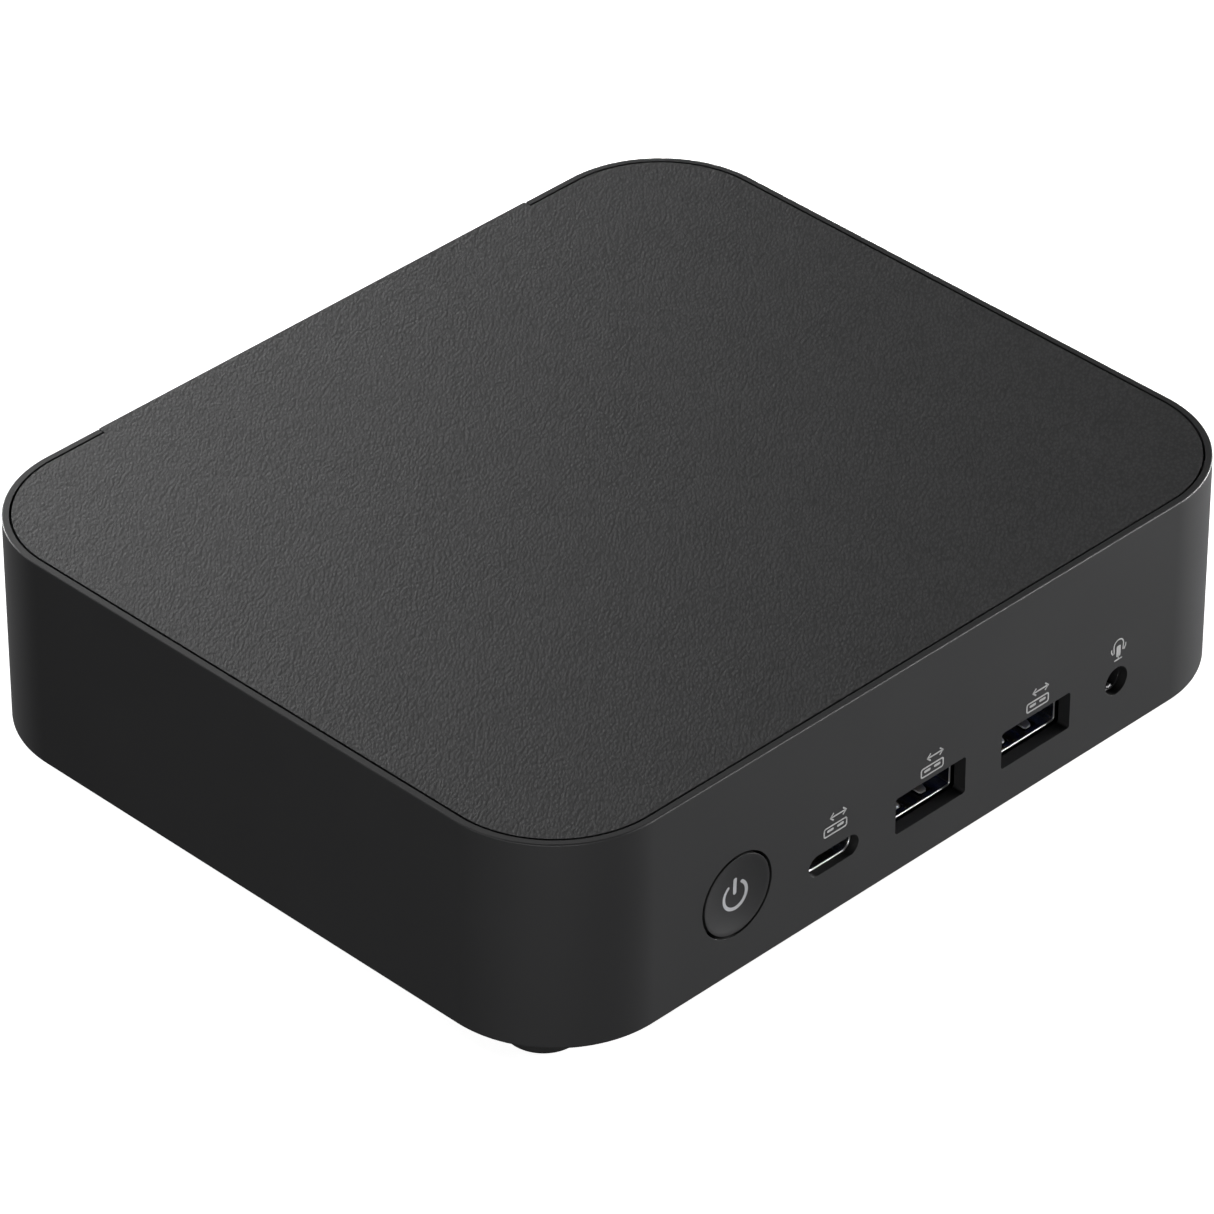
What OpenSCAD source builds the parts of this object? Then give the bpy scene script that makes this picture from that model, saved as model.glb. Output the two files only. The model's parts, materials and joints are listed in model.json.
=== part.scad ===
// Compact desktop computer: a case frame with a press-in top cover, a screwed bottom cover and a rear
// connector panel, around one motherboard with its cooler. Sizes are in millimetres. The origin is the
// centre of the footprint at floor level, +X runs along the front and the front face looks towards -Y.

/* [Case] */
// Width of the case along its front
body_w = 135.6; // [135:0.1:138]
// Depth of the case from front to back
body_d = 115.4; // [115:0.1:118]
// Height of the case without its feet
body_h = 32.9; // [32.9:0.1:35]
// Radius of the upright corners
corner_r = 17.9; // [17:0.1:18.5]
// Thickness of the side walls
wall = 2; // [1.8:0.1:2.2]
// Thickness of the rim around each cover
rim = 1; // [0.9:0.05:1.1]
// Gap between a cover and the rim
seam = 0.28; // [0.2:0.02:0.36]
// Thickness of each cover
cover_t = 2; // [1.8:0.1:2.2]
// Rounding of the upper outer edge
edge_r = 0.4; // [0.2:0.05:0.6]
// Rounding of the lower outer edge
base_edge_r = 0.5; // [0.2:0.05:0.7]

/* [Feet] */
// Radius of a rubber foot
foot_r = 5.43; // [5:0.01:6]
// Height of a foot below the case
foot_h = 3.1; // [2.5:0.1:4]
// Distance of a foot's centre from the side face
foot_inset_x = 10.04; // [9.8:0.01:10.5]
// Distance of a foot's centre from the front or rear face
foot_inset_y = 12.15; // [11.8:0.01:12.5]
// Distance between the two bracket screws under the case
bracket_pitch = 50; // [46:1:54]

/* [Front] */
// Place of the power button along the front
button_x = -34.6; // [-36:0.1:-33]
// Height of the power button's centre above the underside
button_h = 12.7; // [12.2:0.1:13.2]
// Radius of the power button's hole
button_hole_r = 6.43; // [6.2:0.01:6.6]
// Travel of the power button
button_travel = 0.4; // [0.2:0.05:0.45]
// Place of the oblong socket along the front
usb_c_x = -16.47; // [-17:0.01:-16]
// Place of the first wide socket along the front
usb_1_x = 2.02; // [1.5:0.01:2.5]
// Place of the second wide socket along the front
usb_2_x = 22.55; // [22:0.01:23]
// Place of the audio socket along the front
audio_x = 38.6; // [38:0.1:39]
// Height of the front sockets' centres above the underside
socket_h = 9.3; // [9.2:0.05:9.4]

/* [Cooler] */
// Radius of the blower's case
blower_r = 28; // [27:0.5:28]
// Number of impeller blades
blade_count = 29; // [19:2:35]
// Distance between the cooling fins
fin_pitch = 2; // [1.6:0.1:2.6]

/* [Hidden] */

eps = 0.5;
$fn = 48;

// Levels, from the floor up
z_base = foot_h;
z_top = foot_h + body_h;
z_lid = z_top - cover_t;
z_floor = z_base + cover_t;
z_socket = z_base + socket_h;
z_button = z_base + button_h;
board_t = 1.2;
z_board = z_base + 12.2;
z_board_top = z_board + board_t;
z_sill = z_floor + 2.1;

// Outlines
half_w = body_w / 2;
half_d = body_d / 2;
inner_w = half_w - wall;
inner_d = half_d - wall;
inner_r = corner_r - wall;
cover_edge = rim + seam;
window_half = 40.6;
tab_half = window_half - 0.15;
foot_x = half_w - foot_inset_x;
foot_y = half_d - foot_inset_y;
corners = [[-1, -1], [1, -1], [1, 1], [-1, 1]];

// Wide socket: a shell with a tongue near its top
usb_w = 13.14;
usb_h = 5.72;
usb_r = 0.6;
usb_inner_r = 0.35;
usb_sheet = 0.31;
usb_len = 14;
usb_recess = 2.4;
usb_open_w = 13.5;
usb_open_h = 5.93;
usb_open_r = 0.45;
tongue_w = 11.1;
tongue_t = 1.84;
tongue_drop = 0.7;
tongue_back = 0.9;
spring_x = 2.6;
spring_w = 1.8;
spring_tip = 1.25;
spring_root = 6.5;
spring_slot = 0.3;
contact_xs = [-3.5, -1, 1, 3.5];

// Oblong socket
usb_c_w = 8.94;
usb_c_h = 3.2;
usb_c_sheet = 0.3;
usb_c_len = 8;
usb_c_recess = 1.2;
usb_c_open_w = 9.4;
usb_c_open_h = 3.33;
card_w = 6.7;
card_t = 0.7;

// Audio socket
audio_open_r = 2.2;
audio_nose_r = 2.14;
audio_bore_r = 1.8;
audio_w = 6.4;
audio_h = 5.6;
audio_len = 13;
audio_recess = 1.2;
audio_slot_x = 2.6;
audio_spring_len = 5.6;

// Power button
button_gap = 0.4;
button_r = button_hole_r - button_gap;
button_flange_r = 7.3;
button_t = 2.2;
flange_t = 0.8;
dish_depth = 0.3;
dish_r = 52.4;
symbol_r = 2.32;
symbol_line = 0.52;
symbol_gap = 38;
symbol_bar_w = 0.65;
symbol_bar_low = 0.05;
symbol_bar_high = 2.75;
stem_w = 3.2;
stem_h = 2.2;
stem_gap = 0.05;
symbol_t = 0.8;
z_switch = z_board_top + 1.7;
switch_front = -half_d + 4.8;
plunger_w = 2.6;
plunger_h = 1.6;
plunger_out = 1.3;
plunger_in = button_travel + 0.5;
switch_w = 6;
switch_d = 3.6;
switch_h = 3.5;
slide_gap = 0.1;

// Rear panel and the row of rear sockets, each given by its centre along X
panel_t = 1.4;
panel_recess = 0.4;
panel_gap = 0.25;
panel_y = half_d - panel_recess;
panel_half = window_half - panel_gap;
panel_flange = 1.2;
flange_depth = 1.2;
flange_lip = 0.9;
flange_y = inner_d - 0.1;
z_panel_low = z_sill + 0.15;
z_panel_high = z_lid - 0.15;
rear_face = panel_y - 0.2;
hole_gap = 0.25;
slot_w = 2.2;
slot_pitch = 3.85;
slot_count = 20;
z_slot_low = z_base + 22;
z_slot_high = z_base + 30;
dc_x = 34.4;
dc_w = 9;
dc_len = 12;
z_dc = z_base + 10;
dc_nose_r = 3.9;
dc_bore_r = 2.8;
dc_bore_len = 9.5;
dc_pin_r = 1.25;
hdmi_x = 20.6;
hdmi_w = 14;
hdmi_h = 4.55;
hdmi_len = 11.5;
display_x = 2.8;
display_w = 16.1;
display_h = 4.76;
display_len = 12.5;
video_back = 1.2;
sheet = 0.3;
z_hdmi = z_board - hdmi_h / 2 - sheet;
z_display = z_board - display_h / 2 - sheet;
lan_x = -15.3;
lan_w = 16;
lan_h = 13.4;
lan_len = 21;
z_lan = z_base + 11.3;
lan_plug_w = 11.8;
lan_plug_h = 6.8;
lan_depth = 14;
lan_pitch = 1.02;
z_lan_mouth = z_lan + 1.2;
stack_x = -31.9;
stack_w = 14;
stack_h = 15.6;
stack_len = 17;
stack_pitch = 7.9;
stack_core_w = 13.2;
stack_web = 2.6;
z_stack = z_base + 12.8;
lock_x = -45.6;
lock_w = 3;
lock_h = 7;
lock_r = 0.8;
z_lock = z_base + 17;

// Motherboard and what it carries
board_half_w = 63.5;
board_front = -half_d + 3.5;
board_back = half_d - 5.2;
board_r = 13.5;
notch_gap = 0.4;
boss_r = 3.6;
boss_hole_r = 1.9;
boss_hole_len = 4.6;
pilot_r = 1;
pilot_len = 4.2;
cpu_x = -43;
cpu_y = 2;
cpu_w = 25;
cpu_d = 46;
cpu_t = 1.2;
die_w = 9;
die_d = 12;
die_t = 0.4;
memory_y = -36;
memory_w = 67.6;
memory_d = 30;
memory_t = 1.2;
z_memory = z_board - 3.7;
latch_x = memory_w / 2 + 1.3;
latch_y = memory_y + 1.2;
latch_len = 25;
latch_pin_r = 0.5;
latch_room = 1.1;
memory_in = 1;
card_gap = 0.02;
ssd_x = -56;
ssd_y = 7;
ssd_len = 80;
m2_w = 22;
wifi_x = 60;
wifi_len = 30;
m2_t = 0.8;
z_m2 = z_board - 3.1;
cell_r = 10;
cell_t = 3.2;
cell_x = 51;
cell_y = -23;

// Cooler
blower_x = 10;
blower_y = 0;
z_blower = z_board_top + 6.1;
z_blower_top = z_top - 3;
blower_sheet = 0.8;
hub_r = 10;
blade_r = blower_r - 3;
blade_t = 0.8;
shaft_r = 1;
z_pipe = z_base + 20.9;
pipe_w = 5.6;
pipe_t = 3;
pipe_bend = 8;
pipe_xs = [cpu_x + 5, cpu_x - 5];
pipe_ys = [42.5, 49];
fin_front = 39.4;
fin_back = inner_d - 2.2;
fin_half = 38.5;
duct_left = -29;
fin_t = 0.3;
z_fin = z_pipe + pipe_t;
z_fin_top = z_blower_top;
plate_hx = 17;
plate_hy = 20;
pad_hx = 9;
pad_hy = 12;
pad_t = 2.5;

// ---- shared shapes ----

// Box between two opposite corners
module block(low, high) {
    translate(low) cube(high - low);
}

// Prism along Y: the flat shape's x and y become X and Z
module along_y(y_low, y_high) {
    translate([0, y_high, 0]) rotate([90, 0, 0]) linear_extrude(y_high - y_low) children();
}

// Cylinder along Y
module rod_y(x, z, r, y_low, y_high) {
    along_y(y_low, y_high) translate([x, z]) circle(r);
}

// Rectangle with round corners, centred
module round_rect(w, h, r) {
    square([w - 2 * r, h], center = true);
    square([w, h - 2 * r], center = true);
    for (c = corners) translate([c[0] * (w / 2 - r), c[1] * (h / 2 - r)]) circle(r);
}

// Oblong with round ends, centred
module oblong(w, h) {
    square([w - h, h], center = true);
    for (s = [-1, 1]) translate([s * (w - h) / 2, 0]) circle(h / 2);
}

// Waste of a rounding at the corner [u, v] of a section; side is 1 for an upper corner and -1 for a lower one
module corner_waste(u, v, r, side) {
    translate([u - r, v - side * r]) difference() {
        translate([0, side > 0 ? 0 : -r - eps]) square(r + eps);
        circle(r);
    }
}

// Section from u_low to u_high whose outer corners are rounded
module edge_section(u_low, u_high, v_low, v_high, top_r, base_r) {
    difference() {
        translate([u_low, v_low]) square([u_high - u_low, v_high - v_low]);
        corner_waste(u_high, v_high, top_r, 1);
        corner_waste(u_high, v_low, base_r, -1);
    }
}

// Sweeps a section round a rectangle with round corners; the section's u starts at the corner's axis
module sweep_ring(half_x, half_y, r) {
    cx = half_x - r;
    cy = half_y - r;
    for (sx = [0, 1], sy = [0, 1])
        mirror([sx, 0, 0]) mirror([0, sy, 0]) translate([cx, cy, 0]) rotate_extrude(angle = 90) children();
    for (s = [0, 1]) {
        mirror([s, 0, 0]) translate([cx, cy, 0]) rotate([90, 0, 0]) linear_extrude(2 * cy) children();
        mirror([0, s, 0]) translate([-cx, cy, 0]) rotate([90, 0, 90]) linear_extrude(2 * cx) children();
    }
}

// Plate of a cover, inside the rim, with rounded edges
module cover_plate(low, high, top_r, base_r) {
    half_x = half_w - cover_edge;
    half_y = half_d - cover_edge;
    r = corner_r - cover_edge;
    sweep_ring(half_x, half_y, r) edge_section(0, r, low, high, top_r, base_r);
    block([r - half_x, r - half_y, low], [half_x - r, half_y - r, high]);
}

// Screw along Z: the head reaches from head_z by head_t, and the shank on from there to tip_z
module screw(head_r, head_t, shank_r, head_z, tip_z) {
    up = tip_z > head_z ? 1 : -1;
    head_end = head_z + up * head_t;
    translate([0, 0, min(head_z, head_end)]) difference() {
        cylinder(h = head_t, r = head_r);
        translate([0, 0, up > 0 ? -eps : head_t / 2])
            cylinder(h = head_t / 2 + eps, r = head_r / 2, $fn = 6);
    }
    translate([0, 0, min(head_end, tip_z)]) cylinder(h = abs(tip_z - head_end), r = shank_r);
}

// Tube along a list of points, never upright, closed at both ends
function unit(v) = v / norm(v);
function path_dir(p, i) = unit(p[min(i + 1, len(p) - 1)] - p[max(i - 1, 0)]);
function side_of(d) = unit(cross(d, [0, 0, 1]));
function ring_at(p, i, r, n) = let (d = path_dir(p, i), a = side_of(d), b = cross(d, a))
    [for (k = [0:n - 1]) p[i] + r * (cos(360 * k / n) * a + sin(360 * k / n) * b)];
module tube(points, r) {
    n = 8;
    rings = [for (i = [0:len(points) - 1], q = ring_at(points, i, r, n)) q];
    last = (len(points) - 1) * n;
    sides = [for (i = [0:len(points) - 2], k = [0:n - 1])
        [(i + 1) * n + k, (i + 1) * n + (k + 1) % n, i * n + (k + 1) % n, i * n + k]];
    ends = [[for (k = [0:n - 1]) k], [for (k = [0:n - 1]) last + n - 1 - k]];
    polyhedron(rings, concat(sides, ends), convexity = 6);
}

// Smooth curve through guide points, with n steps between each two
function step_on(a, b, c, d, t) =
    0.5 * (2 * b + t * (c - a) + t * t * (2 * a - 5 * b + 4 * c - d) + t * t * t * (3 * b - a - 3 * c + d));
function smooth(p, n) = let (last = len(p) - 1) concat(
    [for (i = [0:last - 1], k = [0:n - 1])
        step_on(p[max(i - 1, 0)], p[i], p[i + 1], p[min(i + 2, last)], k / n)],
    [p[last]]);

// ---- case ----

// Openings of the front wall, seen from the front
module front_openings() {
    translate([button_x, z_button]) circle(button_hole_r);
    translate([usb_c_x, z_socket]) oblong(usb_c_open_w, usb_c_open_h);
    for (x = [usb_1_x, usb_2_x]) translate([x, z_socket]) round_rect(usb_open_w, usb_open_h, usb_open_r);
    translate([audio_x, z_socket]) circle(audio_open_r);
}

// Places of the top cover's hooks: centre, and the turn that points each one outwards
hook_w = 8;
hook_x = 30;
hook_y = 22;
hook_drop = 5;
hook_nose = 1.5;
hook_gap = 0.3;
hook_places = [
    for (x = [-hook_x, hook_x]) [[x, -inner_d, 0], -90],
    for (s = [-1, 1], y = [-hook_y, hook_y]) [[s * inner_w, y, 0], s > 0 ? 0 : 180]
];

// Web that ties a post to the side wall
web_reach = 7.4;
web_t = 1.6;
module post_web(c) {
    ends = [c[0] * foot_x, c[0] * (foot_x + web_reach)];
    block([min(ends), c[1] * foot_y - web_t / 2, z_floor], [max(ends), c[1] * foot_y + web_t / 2, z_board]);
}

module housing() color("#2b2b2d") difference() {
    union() {
        sweep_ring(half_w, half_d, corner_r) difference() {
            edge_section(inner_r, corner_r, z_base, z_top, edge_r, base_edge_r);
            translate([inner_r - eps, z_lid]) square([wall - rim + eps, cover_t + eps]);
            translate([inner_r - eps, z_base - eps]) square([wall - rim + eps, cover_t + eps]);
        }
        for (c = corners) {
            translate([c[0] * foot_x, c[1] * foot_y, z_floor]) cylinder(h = z_board - z_floor, r = boss_r);
            post_web(c);
        }
    }
    along_y(-half_d - eps, -inner_d + eps) front_openings();
    block([-window_half, inner_d - eps, z_sill], [window_half, half_d + eps, z_top + eps]);
    along_y(inner_d - eps, half_d + eps) translate([lock_x, z_lock]) round_rect(lock_w, lock_h, lock_r);
    for (c = corners) translate([c[0] * foot_x, c[1] * foot_y, 0]) {
        translate([0, 0, z_floor - eps]) cylinder(h = boss_hole_len + eps, r = boss_hole_r);
        translate([0, 0, z_board - pilot_len]) cylinder(h = pilot_len + eps, r = pilot_r);
    }
    for (h = hook_places) translate(h[0]) rotate([0, 0, h[1]])
        block([-eps, -hook_w / 2 - hook_gap, z_lid - hook_drop - 0.2],
            [2 * hook_gap, hook_w / 2 + hook_gap, z_lid - hook_drop + hook_nose + 0.2]);
}

module top_cover() color("#3a3a3c") {
    cover_plate(z_lid, z_top, edge_r, 0.01);
    difference() {
        block([-tab_half, half_d - corner_r, z_lid], [tab_half, half_d, z_top]);
        translate([-tab_half - eps, 0, 0]) rotate([90, 0, 90]) linear_extrude(2 * tab_half + 2 * eps)
            corner_waste(half_d, z_top, edge_r, 1);
    }
    for (h = hook_places) translate(h[0]) rotate([0, 0, h[1]]) {
        block([-hook_gap - 1.2, -hook_w / 2, z_lid - hook_drop], [-hook_gap, hook_w / 2, z_lid + 0.1]);
        translate([0, hook_w / 2, z_lid - hook_drop]) rotate([90, 0, 0]) linear_extrude(hook_w)
            polygon([[-hook_gap - 0.2, 0], [hook_gap, hook_nose], [-hook_gap - 0.2, hook_nose]]);
    }
}

// Intake slots of the bottom cover: rows of oblong holes inside a round field
intake_r = 24;
intake_pitch = 5;
intake_w = 2;
intake_bar = 1.6;
intake_split = 12;
module intake_slots() {
    rows = floor(intake_r / intake_pitch);
    for (i = [-rows:rows]) {
        half = sqrt(intake_r * intake_r - i * i * intake_pitch * intake_pitch);
        split = half > intake_split;
        for (s = split ? [-1, 1] : [0])
            translate([s * (half + intake_bar) / 2, i * intake_pitch])
                oblong(split ? half - intake_bar : 2 * half, intake_w);
    }
}

bracket_y = -20;
bracket_boss_r = 3.4;
bracket_boss_len = 3;
bracket_bore_r = 1.25;
rib_t = 1.2;
rib_len = 80;
rib_ys = [-44, 50];
root = 0.1;
insert_r = 2.1;
insert_len = 4;
insert_bore_r = 1.3;
screw_hole_r = 1.45;
well_r = foot_r + 0.25;
well_t = 0.6;
z_cover = z_base + 0.2;
intake_y = 20;
module bottom_cover() color("#252527") difference() {
    union() {
        cover_plate(z_cover, z_floor, 0.01, 0.3);
        for (s = [-1, 1]) translate([s * bracket_pitch / 2, bracket_y, z_floor - root])
            cylinder(h = bracket_boss_len + root, r = bracket_boss_r);
        translate([0, 0, z_floor - root]) linear_extrude(1 + root) for (y = rib_ys)
            translate([0, y]) round_rect(rib_len, rib_t, rib_t / 2 - root);
    }
    for (s = [-1, 1]) translate([s * bracket_pitch / 2, bracket_y, z_cover - eps])
        cylinder(h = insert_len + eps, r = insert_r);
    for (c = corners) translate([c[0] * foot_x, c[1] * foot_y, z_cover - eps]) {
        cylinder(h = well_t + eps, r = well_r);
        cylinder(h = cover_t + 2 * eps, r = screw_hole_r);
    }
    translate([0, intake_y, z_cover - eps]) linear_extrude(cover_t + 2 * eps) intake_slots();
}

foot_bore_r = 2.8;
module rubber_feet() color("#141414") for (c = corners) translate([c[0] * foot_x, c[1] * foot_y, 0])
    rotate_extrude() difference() {
        edge_section(foot_bore_r, foot_r, 0, z_cover + well_t, 0.1, 0.45);
        translate([foot_bore_r, 0]) rotate(45) square(0.5, center = true);
    }

module cover_screws() color("silver") for (c = corners) translate([c[0] * foot_x, c[1] * foot_y, 0])
    screw(2.4, 1.7, 1.25, z_cover - 1.1, z_floor + 4);

module brass_inserts() color("#b8963c") {
    for (c = corners) translate([c[0] * foot_x, c[1] * foot_y, z_floor + 0.1]) difference() {
        cylinder(h = insert_len, r = boss_hole_r);
        translate([0, 0, -eps]) cylinder(h = insert_len + 2 * eps, r = insert_bore_r);
    }
    for (s = [-1, 1]) translate([s * bracket_pitch / 2, bracket_y, z_cover]) difference() {
        cylinder(h = insert_len, r = insert_r);
        translate([0, 0, -eps]) cylinder(h = insert_len + 2 * eps, r = bracket_bore_r);
    }
}

plate_shift = 0.4;
plate_w = 6.4;
plate_h = 12;
module lock_plate() color("silver") along_y(inner_d - 0.9, inner_d - 0.1) translate([lock_x, z_lock])
    difference() {
        translate([plate_shift, 0]) round_rect(plate_w, plate_h, 1);
        round_rect(lock_w + 0.2, lock_h + 0.2, lock_r);
    }

// Outline of the trapezoid video socket, its low corners cut off
module hdmi_outline(grow) {
    w = hdmi_w / 2 + grow;
    h = hdmi_h / 2 + grow;
    polygon([[-w, h], [w, h], [w, h - 2.9], [w - 1.5, -h], [1.5 - w, -h], [-w, h - 2.9]]);
}

// Outline of the video socket with one cut corner
module display_outline(grow) {
    w = display_w / 2 + grow;
    h = display_h / 2 + grow;
    polygon([[-w, h], [w, h], [w, -h + 2], [w - 2, -h], [-w, -h]]);
}

module rear_panel() color("#242426") difference() {
    union() {
        block([-panel_half, panel_y - panel_t, z_panel_low], [panel_half, panel_y, z_panel_high]);
        difference() {
            union() {
                block([-panel_half, flange_y - flange_depth, z_panel_low],
                    [panel_half, panel_y, z_panel_high]);
                block([-panel_half - panel_flange, flange_y - flange_depth, z_floor + 0.3],
                    [panel_half + panel_flange, flange_y, z_panel_high]);
            }
            block([-panel_half + flange_depth, 0, z_panel_low + flange_lip],
                [panel_half - flange_depth, panel_y - panel_t, z_panel_high - flange_lip]);
        }
    }
    along_y(flange_y - 2, panel_y + eps) {
        translate([dc_x, z_dc]) circle(dc_nose_r + hole_gap);
        translate([hdmi_x, z_hdmi]) hdmi_outline(sheet + hole_gap);
        translate([display_x, z_display]) display_outline(sheet + hole_gap);
        translate([lan_x, z_lan]) square([lan_w + 2 * hole_gap, lan_h + 2 * hole_gap], center = true);
        translate([stack_x, z_stack]) square([stack_w + 2 * hole_gap, stack_h + 2 * hole_gap], center = true);
        for (i = [0:slot_count - 1])
            translate([(i - (slot_count - 1) / 2) * slot_pitch, (z_slot_low + z_slot_high) / 2])
                square([slot_w, z_slot_high - z_slot_low], center = true);
    }
}

// ---- power button ----

// Ring that is open at its top, with an upright bar in the opening
module symbol_shape() {
    difference() {
        circle(symbol_r);
        circle(symbol_r - symbol_line);
        polygon([[0, 0], [-4 * tan(symbol_gap), 4], [4 * tan(symbol_gap), 4]]);
    }
    translate([-symbol_bar_w / 2, symbol_bar_low]) square([symbol_bar_w, symbol_bar_high - symbol_bar_low]);
}

// Ball whose surface shapes the button's dished face
module dish_ball() {
    translate([button_x, -half_d + dish_depth - dish_r, z_button]) sphere(dish_r, $fn = 200);
}

module power_button() color("#2e2e30") difference() {
    union() {
        rod_y(button_x, z_button, button_r, -half_d, -half_d + button_t);
        rod_y(button_x, z_button, button_flange_r, -half_d + button_t, -half_d + button_t + flange_t);
        along_y(-half_d + button_t, switch_front - plunger_out - stem_gap)
            translate([button_x, z_switch]) square([stem_w, stem_h], center = true);
    }
    dish_ball();
    along_y(-half_d - eps, -half_d + dish_depth + symbol_t) translate([button_x, z_button]) symbol_shape();
}

module power_symbol() color("#c9c9cb") difference() {
    along_y(-half_d, -half_d + dish_depth + symbol_t) translate([button_x, z_button]) symbol_shape();
    dish_ball();
}

module power_switch() color("#1c1c1c") difference() {
    block([button_x - switch_w / 2, switch_front, z_board_top],
        [button_x + switch_w / 2, switch_front + switch_d, z_board_top + switch_h]);
    along_y(switch_front - eps, switch_front + plunger_in + button_travel + 0.2)
        translate([button_x, z_switch]) square([plunger_w + slide_gap, plunger_h + slide_gap], center = true);
}

module switch_plunger() color("ivory") along_y(switch_front - plunger_out, switch_front + plunger_in)
    translate([button_x, z_switch]) square([plunger_w, plunger_h], center = true);

// ---- wide sockets; the mouth looks towards -Y and its centre is the origin ----

module spring_tab() {
    rotate([90, 0, 90]) translate([0, 0, -spring_w / 2]) linear_extrude(spring_w) polygon([
        [spring_root, 0], [spring_tip + 1.2, 0.42], [spring_tip, 0.1], [spring_tip, 0.34],
        [spring_tip + 1.2, 0.66], [spring_root, usb_sheet]
    ]);
}

module usb_shell() {
    difference() {
        along_y(0, usb_len) difference() {
            round_rect(usb_w, usb_h, usb_r);
            round_rect(usb_w - 2 * usb_sheet, usb_h - 2 * usb_sheet, usb_inner_r);
        }
        for (m = [0, 1], s = [-1, 1]) mirror([0, 0, m])
            block([s * spring_x - spring_w / 2 - spring_slot, spring_tip - spring_slot, -usb_h / 2 - eps],
                [s * spring_x + spring_w / 2 + spring_slot, spring_root, -usb_h / 2 + usb_sheet + 0.1]);
    }
    for (m = [0, 1], s = [-1, 1]) mirror([0, 0, m]) translate([s * spring_x, 0, -usb_h / 2]) spring_tab();
}

z_tongue_top = usb_h / 2 - usb_sheet - tongue_drop;
module usb_insulator() {
    block([-tongue_w / 2, tongue_back, z_tongue_top - tongue_t], [tongue_w / 2, usb_len - 3, z_tongue_top]);
    along_y(usb_len - 3.4, usb_len - 0.2)
        round_rect(usb_w - 2 * usb_sheet - 0.1, usb_h - 2 * usb_sheet - 0.1, 0.3);
}

module usb_contacts() {
    for (x = contact_xs) block([x - 0.5, tongue_back + 1, z_tongue_top - tongue_t - 0.15],
        [x + 0.5, usb_len - 3.6, z_tongue_top - tongue_t]);
}

usb_y = -half_d + usb_recess;
module usb_1_shell() color("silver") translate([usb_1_x, usb_y, z_socket]) usb_shell();
module usb_1_insulator() color("#1f2f5c") translate([usb_1_x, usb_y, z_socket]) usb_insulator();
module usb_1_contacts() color("gold") translate([usb_1_x, usb_y, z_socket]) usb_contacts();
module usb_2_shell() color("silver") translate([usb_2_x, usb_y, z_socket]) usb_shell();
module usb_2_insulator() color("#1f2f5c") translate([usb_2_x, usb_y, z_socket]) usb_insulator();
module usb_2_contacts() color("gold") translate([usb_2_x, usb_y, z_socket]) usb_contacts();

// ---- oblong socket ----

usb_c_y = -half_d + usb_c_recess;
module usb_c_shell() color("silver") along_y(usb_c_y, usb_c_y + usb_c_len) translate([usb_c_x, z_socket])
    difference() {
        oblong(usb_c_w, usb_c_h);
        oblong(usb_c_w - 2 * usb_c_sheet, usb_c_h - 2 * usb_c_sheet);
    }

module usb_c_tongue() color("#161616") {
    block([usb_c_x - card_w / 2, usb_c_y + tongue_back, z_socket - card_t / 2],
        [usb_c_x + card_w / 2, usb_c_y + 6, z_socket + card_t / 2]);
    along_y(usb_c_y + 5.6, usb_c_y + usb_c_len - 0.1) translate([usb_c_x, z_socket])
        oblong(usb_c_w - 2 * usb_c_sheet - 0.1, usb_c_h - 2 * usb_c_sheet - 0.1);
}

// ---- audio socket ----

audio_y = -half_d + audio_recess;
module audio_jack() color("#101010") difference() {
    union() {
        rod_y(audio_x, z_socket, audio_nose_r, audio_y, -inner_d + 0.2);
        block([audio_x - audio_w / 2, -inner_d + 0.1, z_socket - audio_h / 2],
            [audio_x + audio_w / 2, -inner_d + 0.1 + audio_len, z_board]);
    }
    rod_y(audio_x, z_socket, audio_bore_r, audio_y - eps, -inner_d + audio_len - 0.6);
    for (s = [-1, 1]) translate([audio_x + s * audio_slot_x, -inner_d + 6, z_socket])
        cube([1, audio_spring_len + 0.4, 1], center = true);
}

module audio_contacts() color("gold") for (s = [-1, 1])
    translate([audio_x + s * (audio_slot_x + 0.1), -inner_d + 6, z_socket])
        cube([0.4, audio_spring_len, 0.9], center = true);

// ---- rear sockets ----

module dc_jack() color("#151515") difference() {
    union() {
        rod_y(dc_x, z_dc, dc_nose_r, panel_y - panel_t - 1.2, rear_face);
        block([dc_x - dc_w / 2, rear_face - dc_len, z_dc - dc_w / 2],
            [dc_x + dc_w / 2, panel_y - panel_t - 0.3, z_dc + dc_w / 2]);
    }
    rod_y(dc_x, z_dc, dc_bore_r, rear_face - dc_bore_len, rear_face + eps);
}

module dc_pin() color("silver") rod_y(dc_x, z_dc, dc_pin_r, rear_face - dc_bore_len, rear_face - 1);

module hdmi_shell() color("silver") along_y(rear_face - hdmi_len, rear_face) translate([hdmi_x, z_hdmi])
    difference() {
        hdmi_outline(sheet);
        hdmi_outline(0);
    }

module hdmi_insulator() color("#111111") {
    along_y(rear_face - hdmi_len + 0.1, rear_face - hdmi_len + 2.5)
        translate([hdmi_x, z_hdmi]) hdmi_outline(-0.05);
    block([hdmi_x - 5.6, rear_face - hdmi_len + 2, z_hdmi],
        [hdmi_x + 5.6, rear_face - video_back, z_hdmi + 0.9]);
}

module display_shell() color("silver") along_y(rear_face - display_len, rear_face)
    translate([display_x, z_display]) difference() {
        display_outline(sheet);
        display_outline(0);
    }

module display_insulator() color("#111111") {
    along_y(rear_face - display_len + 0.1, rear_face - display_len + 2.5)
        translate([display_x, z_display]) display_outline(-0.05);
    block([display_x - 6.6, rear_face - display_len + 2, z_display + 0.2],
        [display_x + 6.6, rear_face - video_back, z_display + 1.2]);
}

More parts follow.
